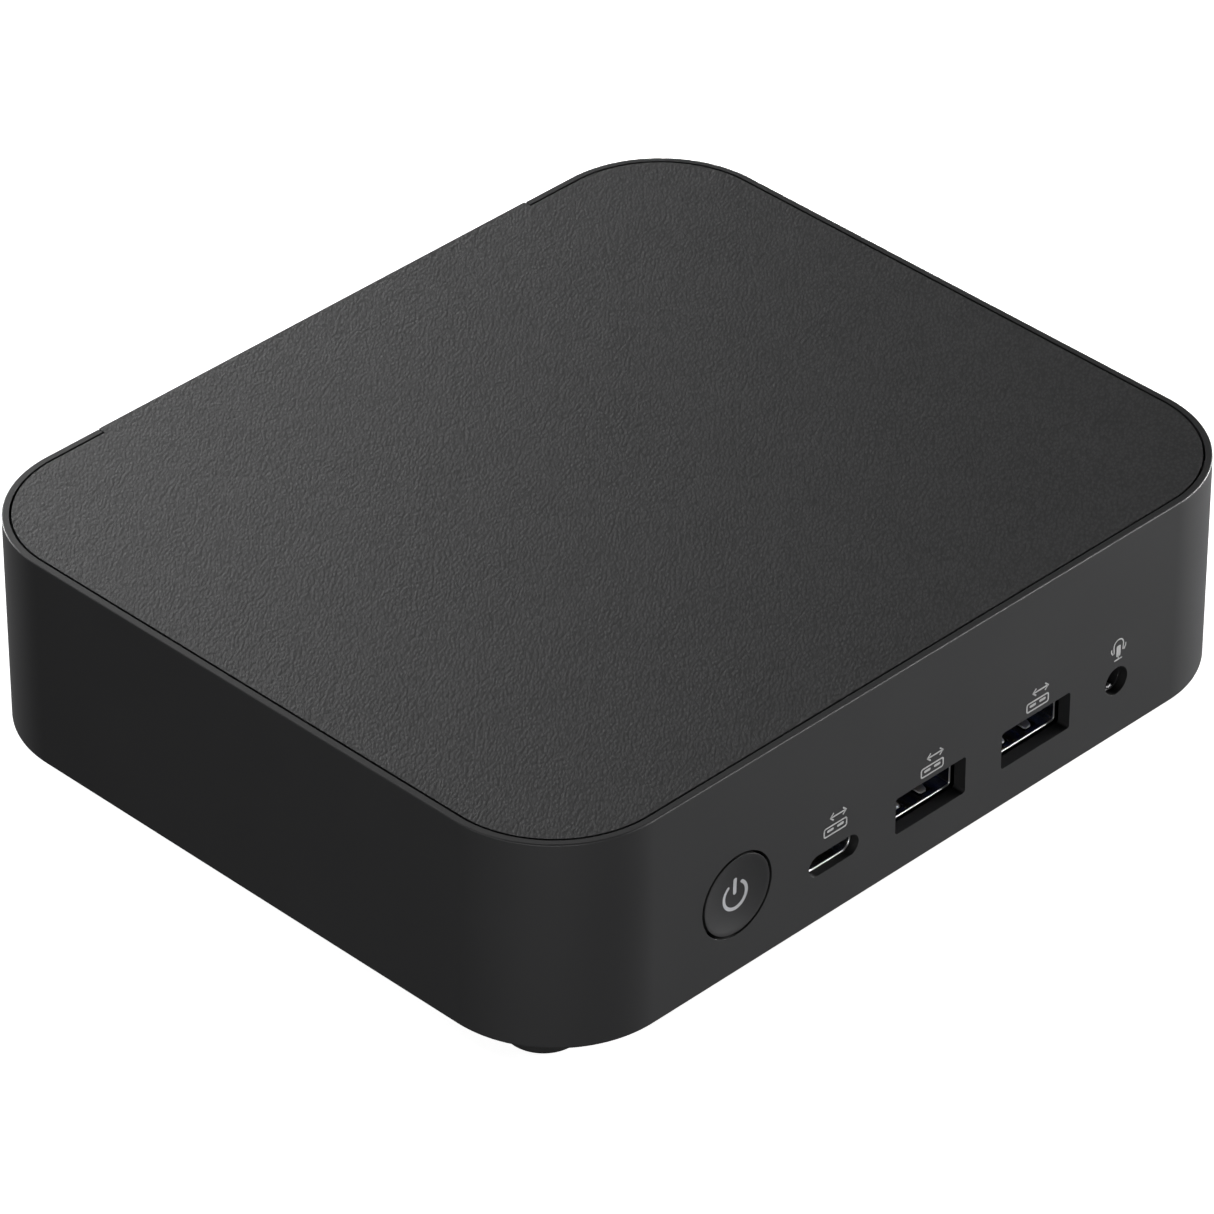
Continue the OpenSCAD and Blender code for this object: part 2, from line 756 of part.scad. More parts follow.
module lan_shield() color("silver") difference() {
    block([lan_x - lan_w / 2, rear_face - lan_len, z_lan - lan_h / 2],
        [lan_x + lan_w / 2, rear_face, z_lan + lan_h / 2]);
    block([lan_x - lan_w / 2 + sheet, rear_face - lan_len + sheet, z_lan - lan_h / 2 + sheet],
        [lan_x + lan_w / 2 - sheet, rear_face + eps, z_lan + lan_h / 2 - sheet]);
}

// Mouth of the network socket: the plug's body with two steps for its latch
module lan_mouth() {
    square([lan_plug_w, lan_plug_h], center = true);
    translate([0, -lan_plug_h / 2 - 0.7]) square([6, 1.6], center = true);
    translate([0, -lan_plug_h / 2 - 2]) square([3.2, 1.4], center = true);
}

module lan_insert() color("#1a1a1a") difference() {
    block([lan_x - lan_w / 2 + sheet, rear_face - lan_len + 2, z_lan - lan_h / 2 + sheet],
        [lan_x + lan_w / 2 - sheet, rear_face - 0.2, z_lan + lan_h / 2 - sheet]);
    along_y(rear_face - lan_depth, rear_face + eps) translate([lan_x, z_lan_mouth]) lan_mouth();
}

module lan_contacts() color("gold") for (i = [0:7]) {
    x = lan_x + (i - 3.5) * lan_pitch;
    top = z_lan_mouth + lan_plug_h / 2;
    block([x - 0.2, rear_face - lan_depth, top - 0.5], [x + 0.2, rear_face - 3, top - 0.1]);
}

module usb_rear_shell() color("silver") difference() {
    block([stack_x - stack_w / 2, rear_face - stack_len, z_stack - stack_h / 2],
        [stack_x + stack_w / 2, rear_face, z_stack + stack_h / 2]);
    block([stack_x - stack_w / 2 + sheet, rear_face - stack_len - eps, z_stack - stack_h / 2 + sheet],
        [stack_x + stack_w / 2 - sheet, rear_face - sheet, z_stack + stack_h / 2 - sheet]);
    along_y(rear_face - 1, rear_face + eps) for (s = [-1, 1])
        translate([stack_x, z_stack + s * stack_pitch / 2])
            round_rect(usb_w - 2 * usb_sheet, usb_h - 2 * usb_sheet, usb_inner_r);
}

module usb_rear_insulator() color("#1f2f5c") {
    block([stack_x - stack_core_w / 2, rear_face - stack_len + 0.1, z_stack - stack_h / 2 + 0.4],
        [stack_x + stack_core_w / 2, rear_face - usb_len + 3, z_stack + stack_h / 2 - 0.4]);
    block([stack_x - stack_core_w / 2, rear_face - usb_len, z_stack - stack_web / 2],
        [stack_x + stack_core_w / 2, rear_face - sheet - 0.1, z_stack + stack_web / 2]);
    for (s = [-1, 1]) {
        top = z_stack + s * stack_pitch / 2 + z_tongue_top;
        block([stack_x - tongue_w / 2, rear_face - usb_len, top - tongue_t],
            [stack_x + tongue_w / 2, rear_face - tongue_back, top]);
    }
}

module usb_rear_contacts() color("gold") for (s = [-1, 1], x = contact_xs) {
    low = z_stack + s * stack_pitch / 2 + z_tongue_top - tongue_t;
    block([stack_x + x - 0.5, rear_face - usb_len + 3.2, low - 0.15],
        [stack_x + x + 0.5, rear_face - tongue_back - 1, low]);
}

// ---- motherboard ----

screw_inset = 2.4;
cooler_screw_xy = [for (c = corners)
    [cpu_x + c[0] * (plate_hx - screw_inset), cpu_y + c[1] * (plate_hy - screw_inset)]];
ssd_screw_xy = [ssd_x + ssd_len, ssd_y + m2_w / 2];
wifi_screw_xy = [wifi_x - wifi_len, ssd_y + m2_w / 2];

module motherboard() color("#123a2a") difference() {
    translate([0, (board_front + board_back) / 2, z_board]) linear_extrude(board_t)
        round_rect(2 * board_half_w, board_back - board_front, board_r);
    block([button_x - 8, board_front - eps, 0], [button_x + 8, board_front + 1.2, z_top]);
    for (n = [[dc_x, dc_w, dc_len], [lan_x, lan_w, lan_len], [stack_x, stack_w, stack_len]])
        block([n[0] - n[1] / 2 - notch_gap, rear_face - n[2] - notch_gap, 0],
            [n[0] + n[1] / 2 + notch_gap, half_d, z_top]);
    for (c = corners) translate([c[0] * foot_x, c[1] * foot_y, z_board - eps]) cylinder(h = 3, r = 1.4);
    for (p = cooler_screw_xy) translate([p[0], p[1], z_board - eps]) cylinder(h = 3, r = 0.9);
}

module processor() color("#2c4a36") {
    block([cpu_x - cpu_w / 2, cpu_y - cpu_d / 2, z_board_top],
        [cpu_x + cpu_w / 2, cpu_y + cpu_d / 2, z_board_top + cpu_t]);
    block([cpu_x - die_w / 2, cpu_y - die_d / 2, z_board_top + cpu_t - 0.1],
        [cpu_x + die_w / 2, cpu_y + die_d / 2, z_board_top + cpu_t + die_t]);
}

// Chips on the upper face: centre, width, depth and height
chip_places = [
    [18, -38, 9, 9, 1], [-4, -34, 6, 6, 0.9], [34, 38, 12, 8, 1.1], [-10, 26, 8, 8, 1], [44, 12, 7, 7, 0.9],
    [50, -30, 5, 6, 0.9], [-14, -46, 5, 4, 0.8]
];
module board_chips() color("#1b1b1b") for (c = chip_places)
    translate([c[0] - c[2] / 2, c[1] - c[3] / 2, z_board_top]) cube([c[2], c[3], c[4]]);

inductor_w = 6.6;
inductor_h = 3;
inductor_pitch = 8.4;
inductor_at = [cpu_x + 22, cpu_y - 22];
module power_inductors() color("#3c3c40") for (i = [0:4])
    translate([inductor_at[0], inductor_at[1] + i * inductor_pitch, z_board_top])
        cube([inductor_w, inductor_w, inductor_h]);

capacitor_r = 2.5;
capacitor_h = 4.6;
capacitor_pitch = 7;
capacitor_xy = [
    for (i = [0:3]) [-58 + i * capacitor_pitch, -34],
    for (i = [0:2]) [56, 24 + i * capacitor_pitch]
];
module board_capacitors() color("#8a8a90") for (p = capacitor_xy)
    translate([p[0], p[1], z_board_top]) cylinder(h = capacitor_h, r = capacitor_r);

// Long slot socket for the memory, with a pin at each end for its latch
module memory_socket() color("#171717") {
    difference() {
        block([-latch_x - 1.6, memory_y - 3.4, z_memory - 0.6], [latch_x + 1.6, memory_y + 3, z_board]);
        block([-memory_w / 2 - 0.1, memory_y - memory_in, z_memory - card_gap],
            [memory_w / 2 + 0.1, memory_y + 4, z_memory + memory_t + card_gap]);
        for (s = [-1, 1])
            block([s * latch_x - latch_room, latch_y - latch_room - 0.5, z_memory - 1],
                [s * latch_x + latch_room, memory_y + 4, z_board - 0.7]);
    }
    for (s = [-1, 1]) translate([s * latch_x, latch_y, z_memory - 0.6])
        cylinder(h = z_board - z_memory, r = latch_pin_r);
}

// Latch arm: turns on the socket's pin, its hook holds the module's edge
module memory_latch() {
    low = z_memory - 0.5;
    high = z_board - 0.9;
    difference() {
        union() {
            translate([0, 0, low]) cylinder(h = high - low, r = 1);
            block([-0.6, 0, low], [0.6, latch_len, high]);
            block([-2, latch_len - 5, low], [0.5, latch_len, z_memory - 0.2]);
        }
        translate([0, 0, low - eps]) cylinder(h = high - low + 2 * eps, r = latch_pin_r + 0.05);
    }
}

module memory_latch_right() color("silver") translate([latch_x, latch_y, 0]) memory_latch();
module memory_latch_left() color("silver") translate([-latch_x, latch_y, 0]) mirror([1, 0, 0]) memory_latch();

module memory_module() color("#124a2c")
    block([-memory_w / 2, memory_y - memory_in, z_memory],
        [memory_w / 2, memory_y - memory_in + memory_d, z_memory + memory_t]);

chip_w = 10;
chip_d = 11;
chip_h = 1.1;
chip_pitch = 14;
module memory_chips() color("#161616") for (i = [0:3], low = [z_memory - chip_h, z_memory + memory_t])
    translate([(i - 1.5) * chip_pitch - chip_w / 2, memory_y + 9, low]) cube([chip_w, chip_d, chip_h]);

// Two slot sockets for the plug-in cards
m2_back = 2.5;
m2_grip = 4;
module m2_sockets() color("#171717") for (s = [0, 1])
    translate([s == 0 ? ssd_x : wifi_x, 0, 0]) mirror([s, 0, 0]) difference() {
        block([-m2_back, ssd_y - 1, z_m2 - 0.9], [m2_grip, ssd_y + m2_w + 1, z_board]);
        block([0, ssd_y - 0.1, z_m2 - card_gap], [m2_grip + eps, ssd_y + m2_w + 0.1, z_m2 + m2_t + card_gap]);
    }

// Plug-in card with a half-round notch for its screw at the free end
module m2_card(x_low, x_high, notch) {
    difference() {
        block([x_low, ssd_y, z_m2], [x_high, ssd_y + m2_w, z_m2 + m2_t]);
        translate([notch[0], notch[1], z_m2 - eps]) cylinder(h = m2_t + 2 * eps, r = 1.8);
    }
}

module ssd_board() color("#153a5a") m2_card(ssd_x, ssd_x + ssd_len, ssd_screw_xy);

module ssd_chips() color("#121212") for (x = [12, 32, 54])
    block([ssd_x + x - 7, ssd_y + 3, z_m2 - 1.3], [ssd_x + x + 7, ssd_y + 19, z_m2]);

module wifi_card() color("#9a9a9e") {
    m2_card(wifi_x - wifi_len, wifi_x, wifi_screw_xy);
    block([wifi_x - wifi_len + 7, ssd_y + 2, z_m2 - 1.3], [wifi_x - 6, ssd_y + 16, z_m2 + 0.1]);
    for (x = [12, 18]) translate([wifi_x - wifi_len + x, ssd_y + 19, z_m2 - 0.6]) cylinder(h = 0.7, r = 1);
}

antenna_ys = [2, -30];
antenna_size = [0.3, 26, 8];
antenna_x = inner_w - antenna_size[0] - 0.05;
z_antenna = z_base + 15;
module antennas() color("#3a2d12") for (y = antenna_ys)
    translate([antenna_x, y, z_antenna]) cube(antenna_size);

// Thin leads from the radio card, along the board's edge and up to the antennas
lead_r = 0.5;
lead_x = antenna_x - 0.9;
lead_routes = [
    [[42, 26, 10.9], [45, 33, 10.2], [54, 37, 10], [62, 35, 10.2], [lead_x, 29, 12], [lead_x, 22, 17],
        [lead_x, 15, 22]],
    [[48, 26, 10.9], [50, 30, 10.2], [57, 32, 9.6], [62.5, 29, 9.4], [lead_x, 22, 9.3], [lead_x, 6, 9.4],
        [lead_x, -6, 12], [lead_x, -12, 17], [lead_x, -17, 22]]
];
module antenna_leads() color("#222222") for (route = lead_routes) tube(smooth(route, 4), lead_r);

module coin_cell() color("silver") translate([cell_x, cell_y, z_board - cell_t])
    cylinder(h = cell_t, r = cell_r);

// Small screws: four hold the board, four the cold plate and two the plug-in cards
module board_screws() color("silver") {
    for (c = corners) translate([c[0] * foot_x, c[1] * foot_y, 0])
        screw(2.2, 1.2, pilot_r - 0.02, z_board_top + 1.2, z_board - 3.8);
    for (p = cooler_screw_xy) translate([p[0], p[1], 0]) screw(1.7, 1.2, 0.85, z_pipe + 1.2, z_board + 0.1);
    for (p = [ssd_screw_xy, wifi_screw_xy]) translate([p[0], p[1], 0]) {
        screw(2.6, 0.7, 1.2, z_m2 - 0.7, z_m2 + m2_t);
        translate([0, 0, z_m2 + m2_t]) cylinder(h = z_board - z_m2 - m2_t, r = 2.2);
    }
}

// ---- cooler ----

z_die = z_board_top + cpu_t + die_t;
module cold_plate() color("#b87333") difference() {
    union() {
        block([cpu_x - plate_hx, cpu_y - plate_hy, z_die + pad_t],
            [cpu_x + plate_hx, cpu_y + plate_hy, z_pipe]);
        block([cpu_x - pad_hx, cpu_y - pad_hy, z_die], [cpu_x + pad_hx, cpu_y + pad_hy, z_pipe]);
    }
    for (p = cooler_screw_xy) translate([p[0], p[1], 0]) cylinder(h = z_top, r = 1);
}

// Flattened pipe: up along the cold plate, round one bend, and along under the fins
module heat_pipe(x, y) {
    start = cpu_y - plate_hy + 1;
    along_y(start, y - pipe_bend) translate([x, z_pipe + pipe_t / 2]) oblong(pipe_w, pipe_t);
    translate([x + pipe_bend, y - pipe_bend, z_pipe + pipe_t / 2]) rotate([0, 0, 90])
        rotate_extrude(angle = 90) translate([pipe_bend, 0]) oblong(pipe_w, pipe_t);
    translate([x + pipe_bend, y, z_pipe + pipe_t / 2]) rotate([90, 0, 90])
        linear_extrude(fin_half - 1 - x - pipe_bend) oblong(pipe_w, pipe_t);
}
module heat_pipes() color("#b87333") for (i = [0, 1]) heat_pipe(pipe_xs[i], pipe_ys[i]);

module fin_stack() color("#a8a8ac") {
    count = floor(2 * fin_half / fin_pitch);
    for (z = [z_fin, z_fin_top - fin_t]) block([-fin_half, fin_front, z], [fin_half, fin_back, z + fin_t]);
    for (i = [0:count]) translate([-fin_half + i * (2 * fin_half - fin_t) / count, 0, 0])
        block([0, fin_front, z_fin], [fin_t, fin_back, z_fin_top]);
}

// Outline of the blower: a round chamber and the duct that leads to the fins
module blower_outline(grow) {
    translate([blower_x, blower_y]) circle(blower_r + grow);
    polygon([
        [blower_x - blower_r - grow, blower_y], [blower_x + blower_r + grow, blower_y],
        [fin_half - 0.5 + grow, fin_front - 0.4], [duct_left - grow, fin_front - 0.4]
    ]);
}

intake_hole_r = 17;
module blower_case() color("#1e1e20") difference() {
    translate([0, 0, z_blower]) linear_extrude(z_blower_top - blower_sheet - z_blower) blower_outline(0);
    translate([0, 0, z_blower + blower_sheet]) linear_extrude(z_top) {
        blower_outline(-1);
        translate([duct_left + 1, fin_front - 3]) square([fin_half - duct_left - 2.5, 6]);
    }
    translate([blower_x, blower_y, z_blower - eps]) linear_extrude(blower_sheet + 2 * eps) difference() {
        circle(intake_hole_r);
        circle(hub_r);
        for (i = [0:2]) rotate(120 * i) translate([0, -1.5]) square([blower_r, 3]);
    }
}

module blower_lid() color("#9c9ca0") translate([0, 0, z_blower_top - blower_sheet])
    linear_extrude(blower_sheet) difference() {
        blower_outline(0);
        translate([blower_x, blower_y]) circle(intake_hole_r);
    }

z_hub_top = z_blower_top - 1.6;
z_blade_low = z_blower + blower_sheet + 1.2;
module blade_ring() {
    difference() {
        union() {
            circle(hub_r);
            for (i = [0:blade_count - 1]) rotate(i * 360 / blade_count) translate([hub_r - 0.5, 0])
                rotate(24) translate([0, -blade_t / 2]) square([blade_r - hub_r - 1, blade_t]);
        }
        circle(hub_r - 1);
    }
}
module impeller() color("#1a1a1c") translate([blower_x, blower_y, 0]) {
    translate([0, 0, z_blade_low]) linear_extrude(z_hub_top - z_blade_low - 1) blade_ring();
    translate([0, 0, z_hub_top - 1]) cylinder(h = 1, r = hub_r);
    translate([0, 0, z_blade_low + 0.3]) cylinder(h = z_hub_top - z_blade_low - 0.8, r = shaft_r);
}

module blower_motor() color("#7a3b1c") translate([blower_x, blower_y, z_blower + blower_sheet]) difference() {
    union() {
        cylinder(h = 0.8, r = 8);
        cylinder(h = z_hub_top - 1.6 - z_blower - blower_sheet, r = 2.4);
        translate([0, 0, 1.4]) cylinder(h = 3, r = 8);
    }
    translate([0, 0, 1]) cylinder(h = z_top, r = shaft_r + 0.05);
}

module fan_lead() color("#303030") {
    a = [blower_x + 20, blower_y - blower_r + 2, z_blower - 1];
    b = [blower_x + 28, -40, z_board_top + 2.4];
    tube(smooth([a, a + [2, -5, -0.5], b + [-2, 6, 0.5], b + [0, 1, 0]], 4), 0.7);
    block([b[0] - 2.5, b[1] - 2, z_board_top], [b[0] + 2.5, b[1] + 1.4, z_board_top + 3.6]);
}

housing();
top_cover();
bottom_cover();
rear_panel();
rubber_feet();
cover_screws();
brass_inserts();
lock_plate();
power_button();
power_symbol();
power_switch();
switch_plunger();
usb_1_shell();
usb_1_insulator();
usb_1_contacts();
usb_2_shell();
usb_2_insulator();
usb_2_contacts();
usb_c_shell();
usb_c_tongue();
audio_jack();
audio_contacts();
dc_jack();
dc_pin();
hdmi_shell();
hdmi_insulator();
display_shell();
display_insulator();
lan_shield();
lan_insert();
lan_contacts();
usb_rear_shell();
usb_rear_insulator();
usb_rear_contacts();
motherboard();
processor();
board_chips();
power_inductors();
board_capacitors();
memory_socket();
memory_latch_left();
memory_latch_right();
memory_module();
memory_chips();
m2_sockets();
ssd_board();
ssd_chips();
wifi_card();
antennas();
antenna_leads();
coin_cell();
board_screws();
cold_plate();
heat_pipes();
fin_stack();
blower_case();
blower_lid();
impeller();
blower_motor();
fan_lead();
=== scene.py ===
"""Looks of the compact desktop computer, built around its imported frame."""
import json
import logging
import math
from contextlib import contextmanager
from dataclasses import dataclass, field
from enum import Enum
from typing import Any, Callable, Iterator, Optional, Sequence

import bmesh
import bpy
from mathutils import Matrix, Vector


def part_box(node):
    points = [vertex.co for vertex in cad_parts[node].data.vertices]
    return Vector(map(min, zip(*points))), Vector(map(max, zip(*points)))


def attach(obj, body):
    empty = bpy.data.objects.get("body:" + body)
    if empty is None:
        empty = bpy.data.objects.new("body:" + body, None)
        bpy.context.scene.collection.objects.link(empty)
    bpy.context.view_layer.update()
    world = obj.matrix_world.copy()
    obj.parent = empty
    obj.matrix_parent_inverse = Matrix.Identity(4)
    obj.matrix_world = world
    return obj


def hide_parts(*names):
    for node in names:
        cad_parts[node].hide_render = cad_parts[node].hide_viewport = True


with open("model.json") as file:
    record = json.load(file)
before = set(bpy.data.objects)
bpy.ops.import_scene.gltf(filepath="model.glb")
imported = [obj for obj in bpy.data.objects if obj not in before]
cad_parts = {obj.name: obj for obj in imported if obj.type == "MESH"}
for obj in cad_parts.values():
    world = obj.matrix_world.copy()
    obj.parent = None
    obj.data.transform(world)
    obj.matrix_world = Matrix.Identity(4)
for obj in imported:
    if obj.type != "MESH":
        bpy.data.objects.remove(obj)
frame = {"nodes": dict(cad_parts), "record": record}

MM = 0.001
CHASSIS = "chassis"
logging.basicConfig(level=logging.INFO, format="%(message)s")
LOG = logging.getLogger("mini_pc")

Flat = tuple[float, float]


# ---------------------------------------------------------------- outlines and solids


class Plane(Enum):
    """The plane an outline is drawn in; its depth runs along the third axis."""

    UP = (0, 1, 2)
    FRONT = (0, 2, 1)
    SIDE = (1, 2, 0)

    def at(self, u: float, v: float, depth: float) -> Vector:
        """Point of the outline at a depth, in metres, from sizes in millimetres."""
        place = [0.0, 0.0, 0.0]
        for axis, size in zip(self.value, (u, v, depth)):
            place[axis] = size * MM
        return Vector(place)


def rounded(corners: Sequence[tuple[float, float, float]], steps: int = 6) -> list[Flat]:
    """Closed outline through corners, each turned with its own radius.

    Args:
        corners: x, y and radius of each corner, in millimetres.
        steps: flats on each round corner.

    Returns:
        The outline's points, in the order of the corners.
    """
    points: list[Flat] = []
    for i, (x, y, radius) in enumerate(corners):
        here = Vector((x, y))
        back = (Vector(corners[i - 1][:2]) - here).normalized()
        ahead = (Vector(corners[(i + 1) % len(corners)][:2]) - here).normalized()
        if radius <= 0:
            points.append((x, y))
            continue
        half = back.angle(ahead) / 2
        centre = here + (back + ahead).normalized() * radius / math.sin(half)
        first = here + back * radius / math.tan(half) - centre
        last = here + ahead * radius / math.tan(half) - centre
        turn = math.atan2(first.x * last.y - first.y * last.x, first.dot(last))
        start = math.atan2(first.y, first.x)
        for k in range(steps + 1):
            angle = start + turn * k / steps
            points.append((centre.x + radius * math.cos(angle), centre.y + radius * math.sin(angle)))
    return points


def rounded_rect(width: float, height: float, radius: float, steps: int = 6, at: Flat = (0, 0)) -> list[Flat]:
    """Rectangle with round corners about a centre."""
    w, h = width / 2, height / 2
    corners = [(at[0] + sx * w, at[1] + sy * h, radius) for sx, sy in ((-1, -1), (1, -1), (1, 1), (-1, 1))]
    return rounded(corners, steps)


def circle(radius: float, steps: int = 48, at: Flat = (0, 0)) -> list[Flat]:
    """Circle about a centre."""
    turns = [math.tau * k / steps for k in range(steps)]
    return [(at[0] + radius * math.cos(t), at[1] + radius * math.sin(t)) for t in turns]


def oblong(width: float, height: float, steps: int = 12, at: Flat = (0, 0)) -> list[Flat]:
    """Slot outline with full round ends."""
    return rounded_rect(width, height, height / 2 - 0.001, steps, at)


def placed(name: str, data: Any) -> bpy.types.Object:
    """New object of the scene that shows a mesh, a light or a camera."""
    thing = bpy.data.objects.new(name, data)
    bpy.context.scene.collection.objects.link(thing)
    return thing


class Solid:
    """A closed mesh under construction."""

    def __init__(self) -> None:
        """Starts empty."""
        self.mesh = bmesh.new()

    def skin(self, rings: Sequence[Sequence[Vector]], loop: bool = False) -> "Solid":
        """Joins rings of equal length into a tube with closed ends, or into a closed loop.

        Args:
            rings: the rings in order; a ring of one point closes to a tip.
            loop: joins the last ring to the first in place of closing the ends.

        Returns:
            This solid.
        """
        rows = [[self.mesh.verts.new(p) for p in ring] for ring in rings]
        pairs = list(zip(rows, rows[1:])) + ([(rows[-1], rows[0])] if loop else [])
        for low, high in pairs:
            count = max(len(low), len(high))
            for i in range(count):
                j = (i + 1) % count
                if len(low) == 1:
                    self.mesh.faces.new((low[0], high[j], high[i]))
                elif len(high) == 1:
                    self.mesh.faces.new((low[i], low[j], high[0]))
                else:
                    self.mesh.faces.new((low[i], low[j], high[j], high[i]))
        if not loop:
            for row in (rows[0][::-1], rows[-1]):
                if len(row) > 2:
                    self.mesh.faces.new(row)
        return self

    def prism(self, outline: Sequence[Flat], plane: Plane, low: float, high: float) -> "Solid":
        """Pushes an outline out from one depth to another, in millimetres."""
        return self.skin([[plane.at(u, v, depth) for u, v in outline] for depth in (low, high)])

    def block(self, low: Sequence[float], high: Sequence[float]) -> "Solid":
        """Adds a box between two corners, in millimetres."""
        outline = [(low[0], low[1]), (high[0], low[1]), (high[0], high[1]), (low[0], high[1])]
        return self.prism(outline, Plane.UP, low[2], high[2])

    def lathe(self, profile: Sequence[Flat], plane: Plane, at: Flat = (0, 0), steps: int = 64) -> "Solid":
        """Turns a profile of radius and depth about an axis.

        Args:
            profile: radius and depth of each point, in millimetres; radius 0 closes the form.
            plane: the plane of the turned circles.
            at: centre of the circles.
            steps: flats round the turn.

        Returns:
            This solid.
        """
        rings = []
        for radius, depth in profile:
            points = [at] if radius < 1e-6 else circle(radius, steps, at)
            rings.append([plane.at(u, v, depth) for u, v in points])
        return self.skin(rings, loop=profile[0][0] > 1e-6)

    def piece(self, name: str) -> "Piece":
        """Ends construction.

        Args:
            name: the piece's name.

        Returns:
            The finished object, with its faces turned outwards.
        """
        bmesh.ops.recalc_face_normals(self.mesh, faces=self.mesh.faces)
        data = bpy.data.meshes.new(name)
        self.mesh.to_mesh(data)
        self.mesh.free()
        return Piece(placed(name, data))


@dataclass
class Piece:
    """One Blender object that belongs to the computer."""

    thing: bpy.types.Object

    def settle(self) -> "Piece":
        """Turns the evaluated modifiers into the plain mesh."""
        graph = bpy.context.evaluated_depsgraph_get()
        data = bpy.data.meshes.new_from_object(self.thing.evaluated_get(graph))
        data.name = self.thing.name
        self.thing.modifiers.clear()
        self.thing.data = data
        return self

    def grow(self, tree: bpy.types.NodeTree, **values: Any) -> "Piece":
        """Runs a Geometry Nodes tree on the piece with its named inputs, and settles the result."""
        change = self.thing.modifiers.new("grow", "NODES")
        change.node_group = tree
        for item in tree.interface.items_tree:
            if item.in_out == "INPUT" and item.name in values:
                change[item.identifier] = values[item.name]
        return self.settle()

    def combine(self, other: "Piece", how: str = "DIFFERENCE") -> "Piece":
        """Cuts the other piece out of this one, or joins it on, and discards the other."""
        change = self.thing.modifiers.new("combine", "BOOLEAN")
        change.operation = how
        change.solver = "EXACT"
        change.object = other.thing
        self.settle()
        bpy.data.objects.remove(other.thing)
        return self

    @contextmanager
    def opened(self) -> Iterator[bmesh.types.BMesh]:
        """Opens the mesh for editing and writes it back."""
        form = bmesh.new()
        form.from_mesh(self.thing.data)
        yield form
        form.to_mesh(self.thing.data)
        form.free()

    def clean(self, merge: float = 0.002, flat: float = 0.6) -> "Piece":
        """Merges doubled points and dissolves the edges inside flat faces.

        Args:
            merge: distance under which points are one, in millimetres.
            flat: turn between faces, in degrees, that still counts as flat.

        Returns:
            This piece.
        """
        with self.opened() as form:
            bmesh.ops.remove_doubles(form, verts=form.verts, dist=merge * MM)
            bmesh.ops.dissolve_limit(form, angle_limit=math.radians(flat), verts=form.verts, edges=form.edges,
                                     use_dissolve_boundaries=False)
            bmesh.ops.recalc_face_normals(form, faces=form.faces)
        return self

    def split(self) -> "Piece":
        """Cuts the flats into triangles, so that rounding leaves those around holes whole."""
        with self.opened() as form:
            bmesh.ops.triangulate(form, faces=form.faces[:])
        return self

    def soften(self, width: float, segments: int = 2, angle: float = 40) -> "Piece":
        """Rounds the sharp edges and gives the flats true normals.

        Args:
            width: width of the rounding, in millimetres.
            segments: steps across the rounding.
            angle: smallest turn that is rounded, in degrees.

        Returns:
            This piece.
        """
        self.thing.data.shade_smooth()
        if width > 0:
            bevel = self.thing.modifiers.new("edges", "BEVEL")
            bevel.width = width * MM
            bevel.segments = segments
            bevel.limit_method = "ANGLE"
            bevel.angle_limit = math.radians(angle)
            bevel.use_clamp_overlap = True
            bevel.miter_outer = "MITER_ARC"
        else:
            self.thing.data.set_sharp_from_angle(angle=math.radians(angle))
        weigh = self.thing.modifiers.new("normals", "WEIGHTED_NORMAL")
        weigh.keep_sharp = True
        return self.settle()

    def dress(self, finish: "Finish") -> "Piece":
        """Gives the whole piece one finish."""
        self.thing.data.materials.clear()
        self.thing.data.materials.append(finish.material())
        return self

    def dress_part(self, finish: "Finish", belongs: Callable[[Vector, Vector], bool]) -> "Piece":
        """Gives some faces a second finish.

        Args:
            finish: the second finish.
            belongs: tells from a face's centre in millimetres and its normal whether it takes the finish.

        Returns:
            This piece.
        """
        self.thing.data.materials.append(finish.material())
        index = len(self.thing.data.materials) - 1
        for face in self.thing.data.polygons:
            if belongs(face.center / MM, face.normal):
                face.material_index = index
        return self

    def hand_over(self, body: str, *nodes: str, slot: Optional[str] = None) -> "Piece":
        """Sets the body that the piece rides on and the nodes that it stands for.

        Args:
            body: name of the body.
            nodes: names of the nodes that the piece replaces.
            slot: not used.

        Returns:
            This piece.
        """
        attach(self.thing, body)
        if nodes:
            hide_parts(*nodes)
        LOG.info("%s: %d faces on %s", self.thing.name, len(self.thing.data.polygons), body)
        return self


BODY_OF: dict[str, str] = {
    node: body for body, nodes in frame["record"]["behaviour"]["bodies"].items() for node in nodes
}


@dataclass(frozen=True)
class Box:
    """A node's box, in millimetres."""

    node: str

    @property
    def low(self) -> Vector:
        """Lowest corner."""
        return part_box(self.node)[0] / MM

    @property
    def high(self) -> Vector:
        """Highest corner."""
        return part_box(self.node)[1] / MM

    @property
    def centre(self) -> Vector:
        """Middle of the box."""
        return (self.low + self.high) / 2


def copied(node: str, name: str) -> Piece:
    """Copy of a node's mesh, merged into closed faces.

    Args:
        node: the node to copy.
        name: the new piece's name.

    Returns:
        The copy, free of the frame.
    """
    thing = placed(name, frame["nodes"][node].data.copy())
    thing.data.materials.clear()
    return Piece(thing).clean()


# ---------------------------------------------------------------- Geometry Nodes


class Repeat(Enum):
    """Ways in which one shape is repeated."""

    LINE = "line"
    RING = "ring"
    CORNERS = "corners"


